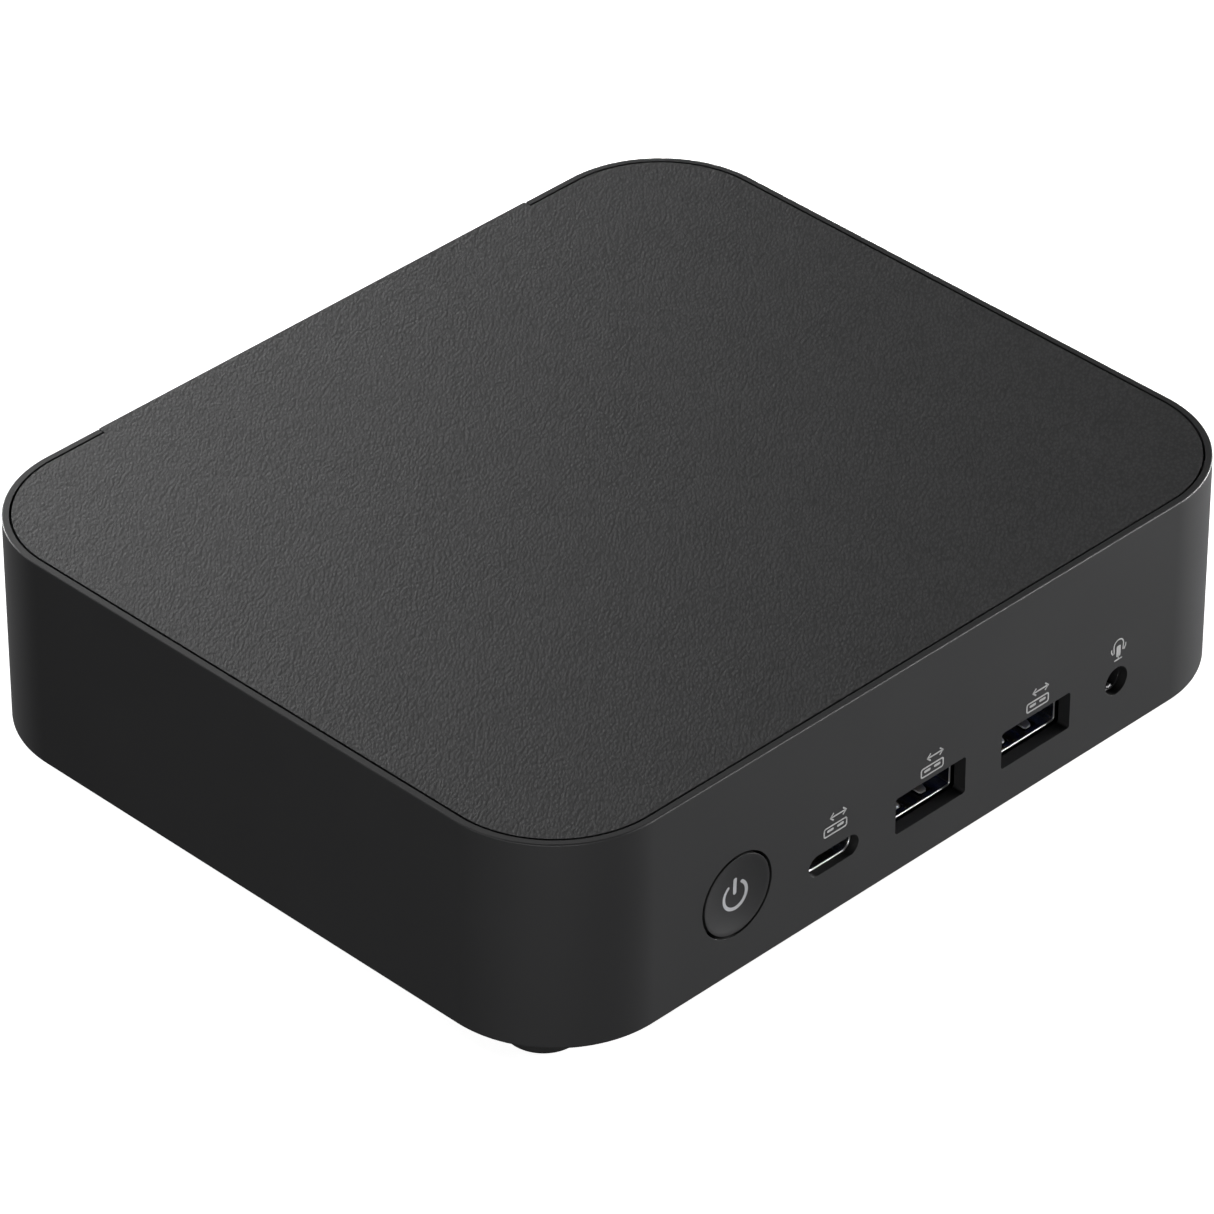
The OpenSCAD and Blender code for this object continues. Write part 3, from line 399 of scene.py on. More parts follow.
class NodeGroup:
    """A Geometry Nodes tree that is wired by short calls."""

    def __init__(self, name: str) -> None:
        """Makes an empty tree with a geometry input and output."""
        self.tree = bpy.data.node_groups.new(name, "GeometryNodeTree")
        self.tree.interface.new_socket("Geometry", in_out="OUTPUT", socket_type="NodeSocketGeometry")
        self.tree.interface.new_socket("Shape", in_out="INPUT", socket_type="NodeSocketGeometry")
        self.given = self.tree.nodes.new("NodeGroupInput")
        self.result = self.tree.nodes.new("NodeGroupOutput")

    def ask(self, name: str, kind: str) -> None:
        """Adds a named input."""
        self.tree.interface.new_socket(name, in_out="INPUT", socket_type=f"NodeSocket{kind}")

    def add(self, kind: str, settings: Optional[dict[str, Any]] = None, **values: Any) -> bpy.types.Node:
        """Adds a node.

        Args:
            kind: the node's type without its prefix, or in full for a shader or function node.
            settings: properties that are set first.
            values: inputs by name, with spaces written as underscores; a socket is linked.

        Returns:
            The node.
        """
        full = kind if kind.startswith(("Shader", "Function")) else f"GeometryNode{kind}"
        node = self.tree.nodes.new(full)
        for key, value in (settings or {}).items():
            setattr(node, key, value)
        for key, value in values.items():
            socket = node.inputs[int(key[1:])] if key[1:].isdigit() else node.inputs[key.replace("_", " ")]
            if isinstance(value, bpy.types.NodeSocket):
                self.tree.links.new(value, socket)
            else:
                socket.default_value = value
        return node

    def end(self, geometry: bpy.types.NodeSocket) -> bpy.types.NodeTree:
        """Realizes the instances, sets the material and closes the tree."""
        real = self.add("RealizeInstances", Geometry=geometry)
        painted = self.add("SetMaterial", Geometry=real.outputs[0], Material=self.given.outputs["Finish"])
        self.tree.links.new(painted.outputs[0], self.result.inputs[0])
        return self.tree


def repeat_tree(how: Repeat) -> bpy.types.NodeTree:
    """Tree that repeats its shape along a line, round an axis or at the corners of a rectangle.

    Args:
        how: the pattern.

    Returns:
        The tree, made once for each pattern.
    """
    name = f"repeat_{how.value}"
    if name in bpy.data.node_groups:
        return bpy.data.node_groups[name]
    group = NodeGroup(name)
    group.ask("Count", "Int")
    group.ask("Start", "Vector")
    group.ask("Step", "Vector")
    group.ask("Finish", "Material")
    given = group.given.outputs
    turn: dict[str, Any] = {}
    if how is Repeat.LINE:
        points = group.add("MeshLine", {"mode": "OFFSET"}, Count=given["Count"], Start_Location=given["Start"],
                           Offset=given["Step"])
    elif how is Repeat.RING:
        points = group.add("MeshLine", {"mode": "OFFSET"}, Count=given["Count"], Start_Location=given["Start"])
        points.inputs["Offset"].default_value = (0, 0, 0)
        index = group.add("InputIndex")
        angle = group.add("ShaderNodeVectorMath", {"operation": "SCALE"}, _0=given["Step"],
                          Scale=index.outputs[0])
        turn["Rotation"] = angle.outputs[0]
    else:
        apart = group.add("ShaderNodeSeparateXYZ", _0=given["Step"])
        grid = group.add("MeshGrid", None, Size_X=apart.outputs[0], Size_Y=apart.outputs[1])
        grid.inputs["Vertices X"].default_value = 2
        grid.inputs["Vertices Y"].default_value = 2
        points = group.add("Transform", None, Geometry=grid.outputs[0], Translation=given["Start"])
    spread = group.add("InstanceOnPoints", None, Points=points.outputs[0], Instance=given["Shape"], **turn)
    return group.end(spread.outputs[0])


def repeated(shape: Piece, how: Repeat, finish: "Finish", count: int = 1, start: Sequence[float] = (0, 0, 0),
             step: Sequence[float] = (0, 0, 0)) -> Piece:
    """Repeats a shape with Geometry Nodes and settles it into one plain mesh.

    Args:
        shape: the shape, drawn about the origin.
        how: the pattern.
        finish: the finish of every copy.
        count: number of copies along a line or round a ring.
        start: place of the first copy, or the middle of the rectangle, in millimetres.
        step: distance between copies in millimetres, or the turn between them in radians.

    Returns:
        The repeated piece.
    """
    scale = 1 if how is Repeat.RING else MM
    return shape.grow(repeat_tree(how), Count=count, Start=[s * MM for s in start], Step=[s * scale for s in step],
                      Finish=finish.material())


def scatter_tree() -> bpy.types.NodeTree:
    """Tree that strews a small part over a surface, square to the board, with a fixed seed."""
    group = NodeGroup("scatter_parts")
    for name, kind in (("Part", "Object"), ("Spacing", "Float"), ("Density", "Float"), ("Seed", "Int"),
                       ("Finish", "Material")):
        group.ask(name, kind)
    given = group.given.outputs
    strewn = group.add("DistributePointsOnFaces", {"distribute_method": "POISSON"}, Mesh=given["Shape"],
                       Distance_Min=given["Spacing"], Density_Max=given["Density"], Seed=given["Seed"])
    part = group.add("ObjectInfo", None, Object=given["Part"])
    quarter = group.add("FunctionNodeRandomValue", {"data_type": "INT"}, _4=0, _5=3, Seed=given["Seed"])
    angle = group.add("ShaderNodeMath", {"operation": "MULTIPLY"}, _0=quarter.outputs[2], _1=math.pi / 2)
    turn = group.add("ShaderNodeCombineXYZ", _2=angle.outputs[0])
    size = group.add("FunctionNodeRandomValue", {"data_type": "FLOAT"}, _2=0.7, _3=1.35, Seed=given["Seed"])
    placed = group.add("InstanceOnPoints", None, Points=strewn.outputs[0], Instance=part.outputs["Geometry"],
                       Rotation=turn.outputs[0], Scale=size.outputs[1])
    return group.end(placed.outputs[0])


# ---------------------------------------------------------------- shader wiring


class Wire:
    """An output socket of a shader node, with arithmetic."""

    def __init__(self, shader: "Shader", socket: bpy.types.NodeSocket) -> None:
        """Wraps a socket."""
        self.shader = shader
        self.socket = socket

    def maths(self, operation: str, *others: Any) -> "Wire":
        """Applies a Math node with this value first."""
        return self.shader.add("Math", {"operation": operation}, self, *others)

    def __add__(self, other: Any) -> "Wire":
        """Sum."""
        return self.maths("ADD", other)

    __radd__ = __add__

    def __sub__(self, other: Any) -> "Wire":
        """Difference."""
        return self.maths("SUBTRACT", other)

    def __rsub__(self, other: Any) -> "Wire":
        """Difference from a number."""
        return self.shader.add("Math", {"operation": "SUBTRACT"}, other, self)

    def __mul__(self, other: Any) -> "Wire":
        """Product."""
        return self.maths("MULTIPLY", other)

    __rmul__ = __mul__

    def __gt__(self, other: Any) -> "Wire":
        """1 where this value is larger."""
        return self.maths("GREATER_THAN", other)

    def __lt__(self, other: Any) -> "Wire":
        """1 where this value is smaller."""
        return self.maths("LESS_THAN", other)

    def between(self, low: float, high: float) -> "Wire":
        """Smooth step from 0 at low to 1 at high."""
        return self.shader.add("MapRange", {"interpolation_type": "SMOOTHSTEP"}, self, low, high, 0.0, 1.0)


class Shader:
    """A material under construction."""

    def __init__(self, name: str) -> None:
        """Makes the material with its surface shader and object coordinates."""
        self.data = bpy.data.materials.new(name)
        self.data.use_nodes = True
        self.nodes = self.data.node_tree.nodes
        self.surface = next(n for n in self.nodes if n.type == "BSDF_PRINCIPLED")
        self.place = Wire(self, self.nodes.new("ShaderNodeTexCoord").outputs["Object"])

    def add(self, kind: str, settings: Optional[dict[str, Any]] = None, *values: Any, out: Any = 0,
            **named: Any) -> Wire:
        """Adds a node.

        Args:
            kind: the node's type without its prefix.
            settings: properties that are set first.
            values: inputs in order; a Wire is linked and None is left alone.
            out: name or number of the output to give back.
            named: inputs by name, with spaces written as underscores.

        Returns:
            The chosen output.
        """
        node = self.nodes.new(f"ShaderNode{kind}")
        for key, value in (settings or {}).items():
            setattr(node, key, value)
        pairs = [(node.inputs[i], value) for i, value in enumerate(values)]
        pairs += [(node.inputs[key.replace("_", " ")], value) for key, value in named.items()]
        for socket, value in pairs:
            self.feed(socket, value)
        return Wire(self, node.outputs[out])

    def feed(self, socket: bpy.types.NodeSocket, value: Any) -> None:
        """Links a Wire to a socket, or sets its value."""
        if isinstance(value, Wire):
            self.data.node_tree.links.new(value.socket, socket)
        elif value is not None:
            socket.default_value = value

    def noise(self, size: float, detail: float = 2.0, rough: float = 0.5,
              stretch: Sequence[float] = (1, 1, 1)) -> Wire:
        """Noise whose features have a size in millimetres."""
        where = self.add("VectorMath", {"operation": "MULTIPLY"}, self.place, tuple(stretch))
        return self.add("TexNoise", None, Vector=where, Scale=1 / (size * MM), Detail=detail, Roughness=rough)

    def cells(self, size: float, feature: str = "F1", jitter: float = 1.0) -> Wire:
        """Distance in a pattern of cells whose size is in millimetres."""
        return self.add("TexVoronoi", {"feature": feature}, Vector=self.place, Scale=1 / (size * MM),
                        Randomness=jitter, out="Distance")

    def blend(self, factor: Any, low: Sequence[float], high: Sequence[float]) -> Wire:
        """Mixes two colours."""
        node = self.nodes.new("ShaderNodeMix")
        node.data_type = "RGBA"
        self.feed(node.inputs[0], factor)
        for socket, colour in ((node.inputs[6], low), (node.inputs[7], high)):
            self.feed(socket, colour if isinstance(colour, Wire) else (*colour, 1.0))
        return Wire(self, node.outputs[2])

    def bump(self, height: Wire, depth: float, strength: float = 1.0) -> None:
        """Drives the normal from a height of 0 to 1 that is depth millimetres tall."""
        made = self.add("Bump", None, Strength=strength, Distance=depth * MM, Height=height)
        self.feed(self.surface.inputs["Normal"], made)

    def end(self, **inputs: Any) -> bpy.types.Material:
        """Sets the surface's inputs, with spaces written as underscores, and gives the material."""
        for key, value in inputs.items():
            if isinstance(value, tuple) and len(value) == 3:
                value = (*value, 1.0)
            self.feed(self.surface.inputs[key.replace("_", " ")], value)
        return self.data


@dataclass(frozen=True)
class Finish:
    """A surface finish; the material is made once."""

    name: str
    colour: tuple[float, float, float]
    roughness: float = 0.5

    def material(self) -> bpy.types.Material:
        """The finish's material."""
        found = bpy.data.materials.get(self.name)
        return found if found else self.make(Shader(self.name))

    def make(self, shader: Shader) -> bpy.types.Material:
        """Wires the material."""
        raise NotImplementedError

    def shade(self, factor: float) -> tuple[float, float, float]:
        """The finish's colour, darker or lighter."""
        return tuple(channel * factor for channel in self.colour)


@dataclass(frozen=True)
class GrainedPlastic(Finish):
    """Plastic moulded with a fine leather grain."""

    grain: float = 0.4
    depth: float = 0.07

    def make(self, shader: Shader) -> bpy.types.Material:
        """Wires the grain from warped cells and fine noise, a little longer along one diagonal."""
        turned = shader.add("VectorRotate", {"rotation_type": "Z_AXIS"}, Vector=shader.place, Angle=math.pi / 4)
        long = shader.add("VectorMath", {"operation": "MULTIPLY"}, turned, (1.0, 0.55, 1.0))
        warp = shader.noise(self.grain * 1.6, 2.0)
        shifted = shader.add("VectorMath", {"operation": "ADD"}, long,
                             shader.add("VectorMath", {"operation": "SCALE"}, warp, Scale=self.grain * 0.5 * MM))
        pebbles = shader.add("TexVoronoi", {"feature": "SMOOTH_F1"}, Vector=shifted,
                             Scale=1 / (self.grain * MM), Smoothness=0.25, out="Distance")
        fine = shader.noise(self.grain * 0.4, 2.0, 0.6)
        height = 0.6 * (1 - pebbles) + 0.4 * fine
        shader.bump(height, self.depth)
        patches = shader.noise(7.0, 3.0)
        # The base colour is lighter on the raised pebbles and darker between them: painted light and shade of the
        # grain; the broad patches add a real unevenness of tone.
        tone = (height * 0.85 + patches * 0.15).between(0.38, 0.66)
        return shader.end(
            Base_Color=shader.blend(tone, self.shade(0.78), self.shade(1.22)),
            Roughness=self.roughness + (0.5 - fine) * 0.2 + (patches - 0.5) * 0.04,
            Specular_IOR_Level=0.5,
        )


@dataclass(frozen=True)
class FinePlastic(Finish):
    """Plastic from a mould with a fine sparked texture."""

    grain: float = 0.16
    depth: float = 0.004

    def make(self, shader: Shader) -> bpy.types.Material:
        """Wires a fine speckle and a faint unevenness."""
        speckle = shader.noise(self.grain, 3.0, 0.65)
        drift = shader.noise(14.0, 2.0)
        shader.bump(speckle, self.depth)
        return shader.end(
            Base_Color=shader.blend(speckle * 0.6 + drift * 0.4, self.shade(0.93), self.shade(1.07)),
            Roughness=self.roughness + (speckle - 0.5) * 0.12 + (drift - 0.5) * 0.05,
        )


@dataclass(frozen=True)
class Rubber(Finish):
    """Soft rubber with a dull bloom."""

    def make(self, shader: Shader) -> bpy.types.Material:
        """Wires bloom and fine pits."""
        pits = shader.noise(0.12, 4.0, 0.7)
        bloom = shader.noise(2.5, 3.0)
        shader.bump(pits, 0.008)
        return shader.end(
            Base_Color=shader.blend(bloom, self.shade(0.8), self.shade(1.6)),
            Roughness=self.roughness + (bloom - 0.5) * 0.2,
            Specular_IOR_Level=0.35,
        )


@dataclass(frozen=True)
class Metal(Finish):
    """Plated or drawn metal with a direction to its fine scratches."""

    lay: tuple[float, float, float] = (1.0, 1.0, 1.0)
    grain: float = 0.05
    stain: float = 0.15

    def make(self, shader: Shader) -> bpy.types.Material:
        """Wires scratches along the lay and cloudy staining."""
        scratch = shader.noise(self.grain, 2.0, 0.6, self.lay)
        cloud = shader.noise(1.8, 3.0)
        shader.bump(scratch, 0.0015)
        return shader.end(
            Base_Color=shader.blend(cloud, self.shade(1 - self.stain), self.shade(1.0)),
            Metallic=1.0,
            Roughness=self.roughness + (scratch - 0.5) * 0.16 + (cloud - 0.5) * 0.1,
        )


@dataclass(frozen=True)
class SolderMask(Finish):
    """Printed board: lacquered tracks, ground fill and plated holes."""

    track: float = 0.9
    via: float = 2.3

    def make(self, shader: Shader) -> bpy.types.Material:
        """Wires tracks from stepped cells and holes from a cell pattern."""
        grid = shader.add("TexBrick", None, Vector=shader.place, Scale=1 / (6 * self.track * MM), Mortar_Size=0.035,
                          Mortar_Smooth=0.1, Color1=(0, 0, 0, 1), Color2=(0.25, 0.25, 0.25, 1),
                          Mortar=(1, 1, 1, 1), out="Color")
        fill = shader.add("TexVoronoi", {"feature": "F1", "distance": "CHEBYCHEV"}, Vector=shader.place,
                          Scale=1 / (4.5 * self.track * MM), Randomness=0.8, out="Distance")
        copper = (grid * 0.7 + (fill < 0.38) * 0.3).between(0.15, 0.4)
        dots = shader.cells(self.via)
        hole = dots < 0.11
        pad = (dots < 0.18) - hole
        lacquer = shader.blend(copper, self.shade(0.7), self.shade(1.5))
        plated = shader.blend(pad, (0, 0, 0), (0.75, 0.62, 0.34))
        shader.bump(copper * (1 - hole), 0.02)
        base = shader.blend(pad, lacquer, plated)
        # The holes are painted near-black: painted shade in place of open holes.
        return shader.end(Base_Color=shader.blend(hole, base, (0.01, 0.01, 0.01)),
                          Roughness=self.roughness + (1 - copper) * 0.12, Metallic=pad * 0.8, Coat_Weight=0.3)


@dataclass(frozen=True)
class Ink(Finish):
    """Thin printed ink."""

    def make(self, shader: Shader) -> bpy.types.Material:
        """Wires slightly uneven cover."""
        cover = shader.noise(0.12, 3.0, 0.7)
        return shader.end(Base_Color=shader.blend(cover, self.shade(0.82), self.shade(1.08)),
                          Roughness=self.roughness + (cover - 0.5) * 0.1)


@dataclass(frozen=True)
class LightGuide(Finish):
    """Milky plastic that carries light."""

    def make(self, shader: Shader) -> bpy.types.Material:
        """Wires a milky body with a faint cloud."""
        cloud = shader.noise(0.5, 2.0)
        return shader.end(Base_Color=shader.blend(cloud, self.shade(0.94), self.shade(1.04)),
                          Roughness=self.roughness + (cloud - 0.5) * 0.08, Subsurface_Weight=0.1)


@dataclass(frozen=True)
class Winding(Finish):
    """Enamelled copper wire wound round a core."""

    pitch: float = 0.35

    def make(self, shader: Shader) -> bpy.types.Material:
        """Wires rings of wire."""
        turns = shader.add("TexWave", {"bands_direction": "Z", "wave_profile": "SIN"}, Vector=shader.place,
                           Scale=1 / (self.pitch * MM) / 3.18, Distortion=0.4, out="Fac")
        shader.bump(turns, 0.08)
        # The base colour is darker between the turns: painted shade in the grooves between the wires.
        return shader.end(Base_Color=shader.blend(turns, self.shade(0.5), self.shade(1.1)), Metallic=0.6,
                          Roughness=self.roughness, Coat_Weight=0.5)


COVER = GrainedPlastic("grained_cover_plastic", (0.042, 0.042, 0.043), 0.44)
CASE = FinePlastic("case_plastic_fine", (0.031, 0.031, 0.032), 0.46)
BASE = FinePlastic("base_plastic_fine", (0.022, 0.022, 0.023), 0.5)
KEY = FinePlastic("key_plastic_fine", (0.034, 0.034, 0.035), 0.4, grain=0.2, depth=0.003)
RUBBER = Rubber("foot_rubber", (0.012, 0.012, 0.012), 0.75)
BLACK = FinePlastic("black_moulding", (0.010, 0.010, 0.011), 0.42, grain=0.3)
IVORY = FinePlastic("ivory_moulding", (0.62, 0.56, 0.44), 0.4)
NAVY = FinePlastic("navy_moulding", (0.012, 0.034, 0.170), 0.35, grain=0.25)
STEEL = Metal("tin_plated_sheet", (0.74, 0.74, 0.75), 0.38, lay=(1, 0.2, 1))
SPRING = Metal("satin_spring_sheet", (0.60, 0.60, 0.61), 0.6)
# Darker, bluish copy of the sheet steel for the shells' inner faces: painted shade with a painted bluish reflection;
# its lower roughness is a smoother finish.
INNER_SHEET_SHADE_PAINT = Metal("polished_inner_sheet", (0.60, 0.63, 0.70), 0.2)
# Near-black plastic on the walls of the front openings and on the button cap's sides: painted shade inside the
# openings.
OPENING_SHADE_PAINT = FinePlastic("dull_opening_edge", (0.006, 0.006, 0.006), 0.7, grain=0.2)
LIP = FinePlastic("bore_moulding", (0.020, 0.020, 0.021), 0.34, grain=0.3)
SCREW = Metal("zinc_plated_screw", (0.58, 0.58, 0.60), 0.3)
GOLD = Metal("gold_plating", (0.94, 0.70, 0.30), 0.2, stain=0.08)
BRASS = Metal("turned_brass", (0.80, 0.60, 0.28), 0.28, lay=(1, 1, 8))
COPPER = Metal("bare_copper", (0.86, 0.48, 0.32), 0.3, lay=(0.2, 1, 1), stain=0.3)
ALUMINIUM = Metal("bright_aluminium", (0.80, 0.80, 0.82), 0.32, lay=(1, 0.1, 1))
CAN = Metal("drawn_can", (0.70, 0.70, 0.71), 0.35)
BOARD = SolderMask("board_mask_green", (0.010, 0.060, 0.036), 0.32)
CARD = SolderMask("card_mask_blue", (0.008, 0.040, 0.090), 0.32, track=0.6, via=1.6)
CARRIER = SolderMask("carrier_mask", (0.018, 0.085, 0.048), 0.4, track=0.3, via=0.9)
CHIP = FinePlastic("chip_package", (0.020, 0.020, 0.021), 0.55, grain=0.1)
FILM = SolderMask("antenna_film", (0.20, 0.09, 0.02), 0.3, track=1.4, via=6.0)
LABEL_INK = Ink("label_ink", (0.42, 0.42, 0.42), 0.5)
GUIDE = LightGuide("symbol_guide", (0.50, 0.50, 0.51), 0.35)
WIRE = Winding("motor_winding", (0.55, 0.22, 0.08), 0.35)

BY_FINISH: dict[Finish, tuple[str, ...]] = {
    SCREW: ("board_screws", "lock_plate"),
    BRASS: ("brass_inserts",),
    BLACK: ("power_switch", "memory_socket", "m2_sockets", "antenna_leads", "fan_lead"),
    IVORY: ("switch_plunger",),
    GOLD: ("audio_contacts", "lan_contacts", "usb_rear_contacts"),
    BOARD: ("motherboard", "memory_module"),
    CARRIER: ("processor",),
    CHIP: ("board_chips", "power_inductors", "memory_chips", "ssd_chips"),
    CAN: ("board_capacitors", "wifi_card", "coin_cell"),
    STEEL: ("memory_latch_left", "memory_latch_right"),
    CARD: ("ssd_board",),
    FILM: ("antennas",),
    COPPER: ("heat_pipes",),
    WIRE: ("blower_motor",),
}


# ---------------------------------------------------------------- case


@dataclass
class CaseFrame:
    """The side walls: one closed ring with a ledge under each cover."""

    corner: float = 17.9
    wall: float = 2.0
    rim: float = 1.0
    cover: float = 2.0
    top_round: float = 0.22
    base_round: float = 0.5
    corner_steps: int = 40
    key_hole: float = 6.43
    audio_hole: float = 2.2
    oblong_hole: Flat = (9.4, 3.33)
    wide_hole: Flat = (13.5, 5.93)
    window_half: float = 40.6
    window_round: float = 0.4
    foot_r: float = 5.43
    post_r: float = 3.6
    web_reach: float = 7.4
    web_half: float = 0.8
    box: Box = field(default_factory=lambda: Box("housing"))

    def outline(self, inset: float) -> list[Flat]:
        """Outline of the case, set in by a distance."""
        size = self.box.high - self.box.low
        return rounded_rect(size.x - 2 * inset, size.y - 2 * inset, self.corner - inset, self.corner_steps)

    def section(self) -> list[Flat]:
        """Inset and height of each ring, once round the wall's section."""
        low, high = self.box.low.z, self.box.high.z
        quarter = [math.pi / 2 * k / 6 for k in range(7)]
        base = [(self.base_round * (1 - math.sin(t)), low + self.base_round * (1 - math.cos(t))) for t in quarter]
        top = [(self.top_round * (1 - math.cos(t)), high - self.top_round * (1 - math.sin(t))) for t in quarter]
        inside = [(self.rim, high), (self.rim, high - self.cover), (self.wall, high - self.cover),
                  (self.wall, low + self.cover), (self.rim, low + self.cover), (self.rim, low)]
        return base + top + inside

    def front_cutters(self, cutters: Solid) -> None:
        """Adds the openings of the front wall."""
        face, back = self.box.low.y - 1, self.box.low.y + self.wall + 1
        key = Box("power_button").centre
        oblong_at, audio = Box("usb_c_shell").centre, Box("audio_jack").centre
        level = Box("usb_1_shell").centre.z
        cutters.prism(circle(self.key_hole, 96, (key.x, key.z)), Plane.FRONT, face, back)
        cutters.prism(oblong(*self.oblong_hole, 16, (oblong_at.x, oblong_at.z)), Plane.FRONT, face, back)
        for node in ("usb_1_shell", "usb_2_shell"):
            hole = rounded_rect(*self.wide_hole, 0.45, 6, (Box(node).centre.x, level))
            cutters.prism(hole, Plane.FRONT, face, back)
        cutters.prism(circle(self.audio_hole, 48, (audio.x, level)), Plane.FRONT, face, back)

    def rear_cutters(self, cutters: Solid) -> None:
        """Adds the rear window, whose upright edges are rounded, and the lock slot."""
        outer, r = self.box.high.y, self.window_round
        sill = Box("rear_panel").low.z + 1.8
        arc = [math.pi / 2 * k / 4 for k in range(5)]
        edge = [(self.window_half + r - r * math.cos(t), outer - r + r * math.sin(t)) for t in arc]
        right = [(self.window_half, outer - self.wall - 1)] + edge + [(self.window_half + r, outer + 1)]
        outline = right + [(-x, y) for x, y in reversed(right)]
        cutters.prism(outline, Plane.UP, sill, self.box.high.z + 1)
        plate = Box("lock_plate")
        slot_at = (plate.centre.x - 0.4, plate.centre.z)
        cutters.prism(rounded_rect(3, 7, 0.8, 6, slot_at), Plane.FRONT, outer - self.wall - 1, outer + 1)

    def build(self) -> Piece:
        """Skins the ring, joins the posts and cuts the openings."""
        rings = [[Plane.UP.at(x, y, z) for x, y in self.outline(inset)] for inset, z in self.section()]
        ring = Solid().skin(rings, loop=True).piece("case_frame")
        low, high = self.box.low.z + self.cover, Box("motherboard").low.z
        foot = Box("rubber_feet").high - Vector((self.foot_r, self.foot_r, 0))
        posts, webs = Solid(), Solid()
        for sx, sy in ((-1, -1), (1, -1), (1, 1), (-1, 1)):
            y = sy * foot.y
            post = [(0, low), (self.post_r, low), (self.post_r, high), (0, high)]
            posts.lathe(post, Plane.UP, (sx * foot.x, y), 40)
            near, far = sorted((sx * (foot.x + 2.5), sx * (foot.x + self.web_reach)))
            webs.block((near, y - self.web_half, low + 0.01), (far, y + self.web_half, high - 0.01))
        ring.combine(posts.piece("posts").combine(webs.piece("webs"), "UNION"), "UNION")
        cutters = Solid()
        self.front_cutters(cutters)
        self.rear_cutters(cutters)
        return ring.combine(cutters.piece("openings")).clean(flat=0.2).soften(0.06, 2, 50)

    def dress(self, piece: Piece) -> None:
        """Gives the frame its plastic, with painted shade on the walls of its front openings."""
        front, key, jack = self.box.low.y, Box("power_button").low, Box("audio_jack").high

        def in_opening(at: Vector, normal: Vector) -> bool:
            """True on the walls of the front openings, which take painted shade."""
            inside = front + 0.02 < at.y < front + self.wall - 0.02 and 6 < at.z < 24
            return inside and key.x < at.x < jack.x and abs(normal.y) < 0.95

        piece.dress(CASE).dress_part(OPENING_SHADE_PAINT, in_opening).hand_over(CHASSIS, "housing")


@dataclass
class TopCover:
    """The grained plate with its rear tab and hooks."""

    corner: float = 17.9
    thick: float = 2.0
    gap: float = 1.36
    tab_half: float = 40.45
    tab_round: float = 0.15
    wall: float = 2.0
    side_hook: float = 22.0
    front_hook: float = 30.0
    hook_half: float = 4.0
    edge: float = 0.18
    steps: int = 40
    case: Box = field(default_factory=lambda: Box("housing"))
    box: Box = field(default_factory=lambda: Box("top_cover"))

    def outline(self) -> list[Flat]:
        """Plan of the plate: a rounded rectangle with a tab that reaches the rear face."""
        half_x, half_y = self.case.high.x - self.gap, self.case.high.y - self.gap
        round_r, rear = self.corner - self.gap, self.case.high.y
        front = rounded([(sx * half_x, sy * half_y, round_r) for sx, sy in ((-1, 1), (-1, -1), (1, -1), (1, 1))],
                        self.steps)
        ends = ((1, half_y), (1, rear), (-1, rear), (-1, half_y))
        tab = rounded([(side * self.tab_half, y, self.tab_round) for side, y in ends], 3)
        return front + tab

    def build(self) -> Piece:
        """Pushes out the plate and rounds its edges."""
        top = self.case.high.z
        plate = Solid().prism(self.outline(), Plane.UP, top - self.thick, top).piece("top_cover_plate")
        return plate.soften(self.edge, 4, 50)

    def hooks(self) -> Piece:
        """Snap hooks under the plate, two along the front and two along each side."""
        under = self.case.high.z - self.thick
        hook_side = [(-1.5, -5), (-0.5, -5), (0.3, -3.5), (-0.3, -3.5), (-0.3, 0.05), (-1.5, 0.05)]
        reach = Vector((self.case.high.x - self.wall, self.case.high.y - self.wall))
        half = self.hook_half
        forms = []
        for sx in (-1, 1):
            side = Solid().prism([(sx * u, v) for u, v in hook_side], Plane.FRONT, -half, half).piece("hook")
            start, step = (sx * reach.x, -self.side_hook, under), (0, 2 * self.side_hook, 0)
            forms.append(repeated(side, Repeat.LINE, BASE, 2, start, step))
        front = Solid().prism([(-u, v) for u, v in hook_side], Plane.SIDE, -half, half).piece("hook")
        start, step = (-self.front_hook, -reach.y, under), (2 * self.front_hook, 0, 0)
        whole = repeated(front, Repeat.LINE, BASE, 2, start, step)
        for form in forms:
            join(whole, form)
        whole.thing.name = "top_cover_hooks"
        return whole

    def dress(self, plate: Piece, hooks: Piece) -> None:
        """Gives the plate its grain."""
        plate.dress(COVER).hand_over(CHASSIS, "top_cover")
        hooks.hand_over(CHASSIS, slot="cover_plastic")


def join(target: Piece, extra: Piece) -> Piece:
    """Adds the extra piece's mesh to the target's as separate shells."""
    with target.opened() as form:
        form.from_mesh(extra.thing.data)
    bpy.data.objects.remove(extra.thing)
    return target


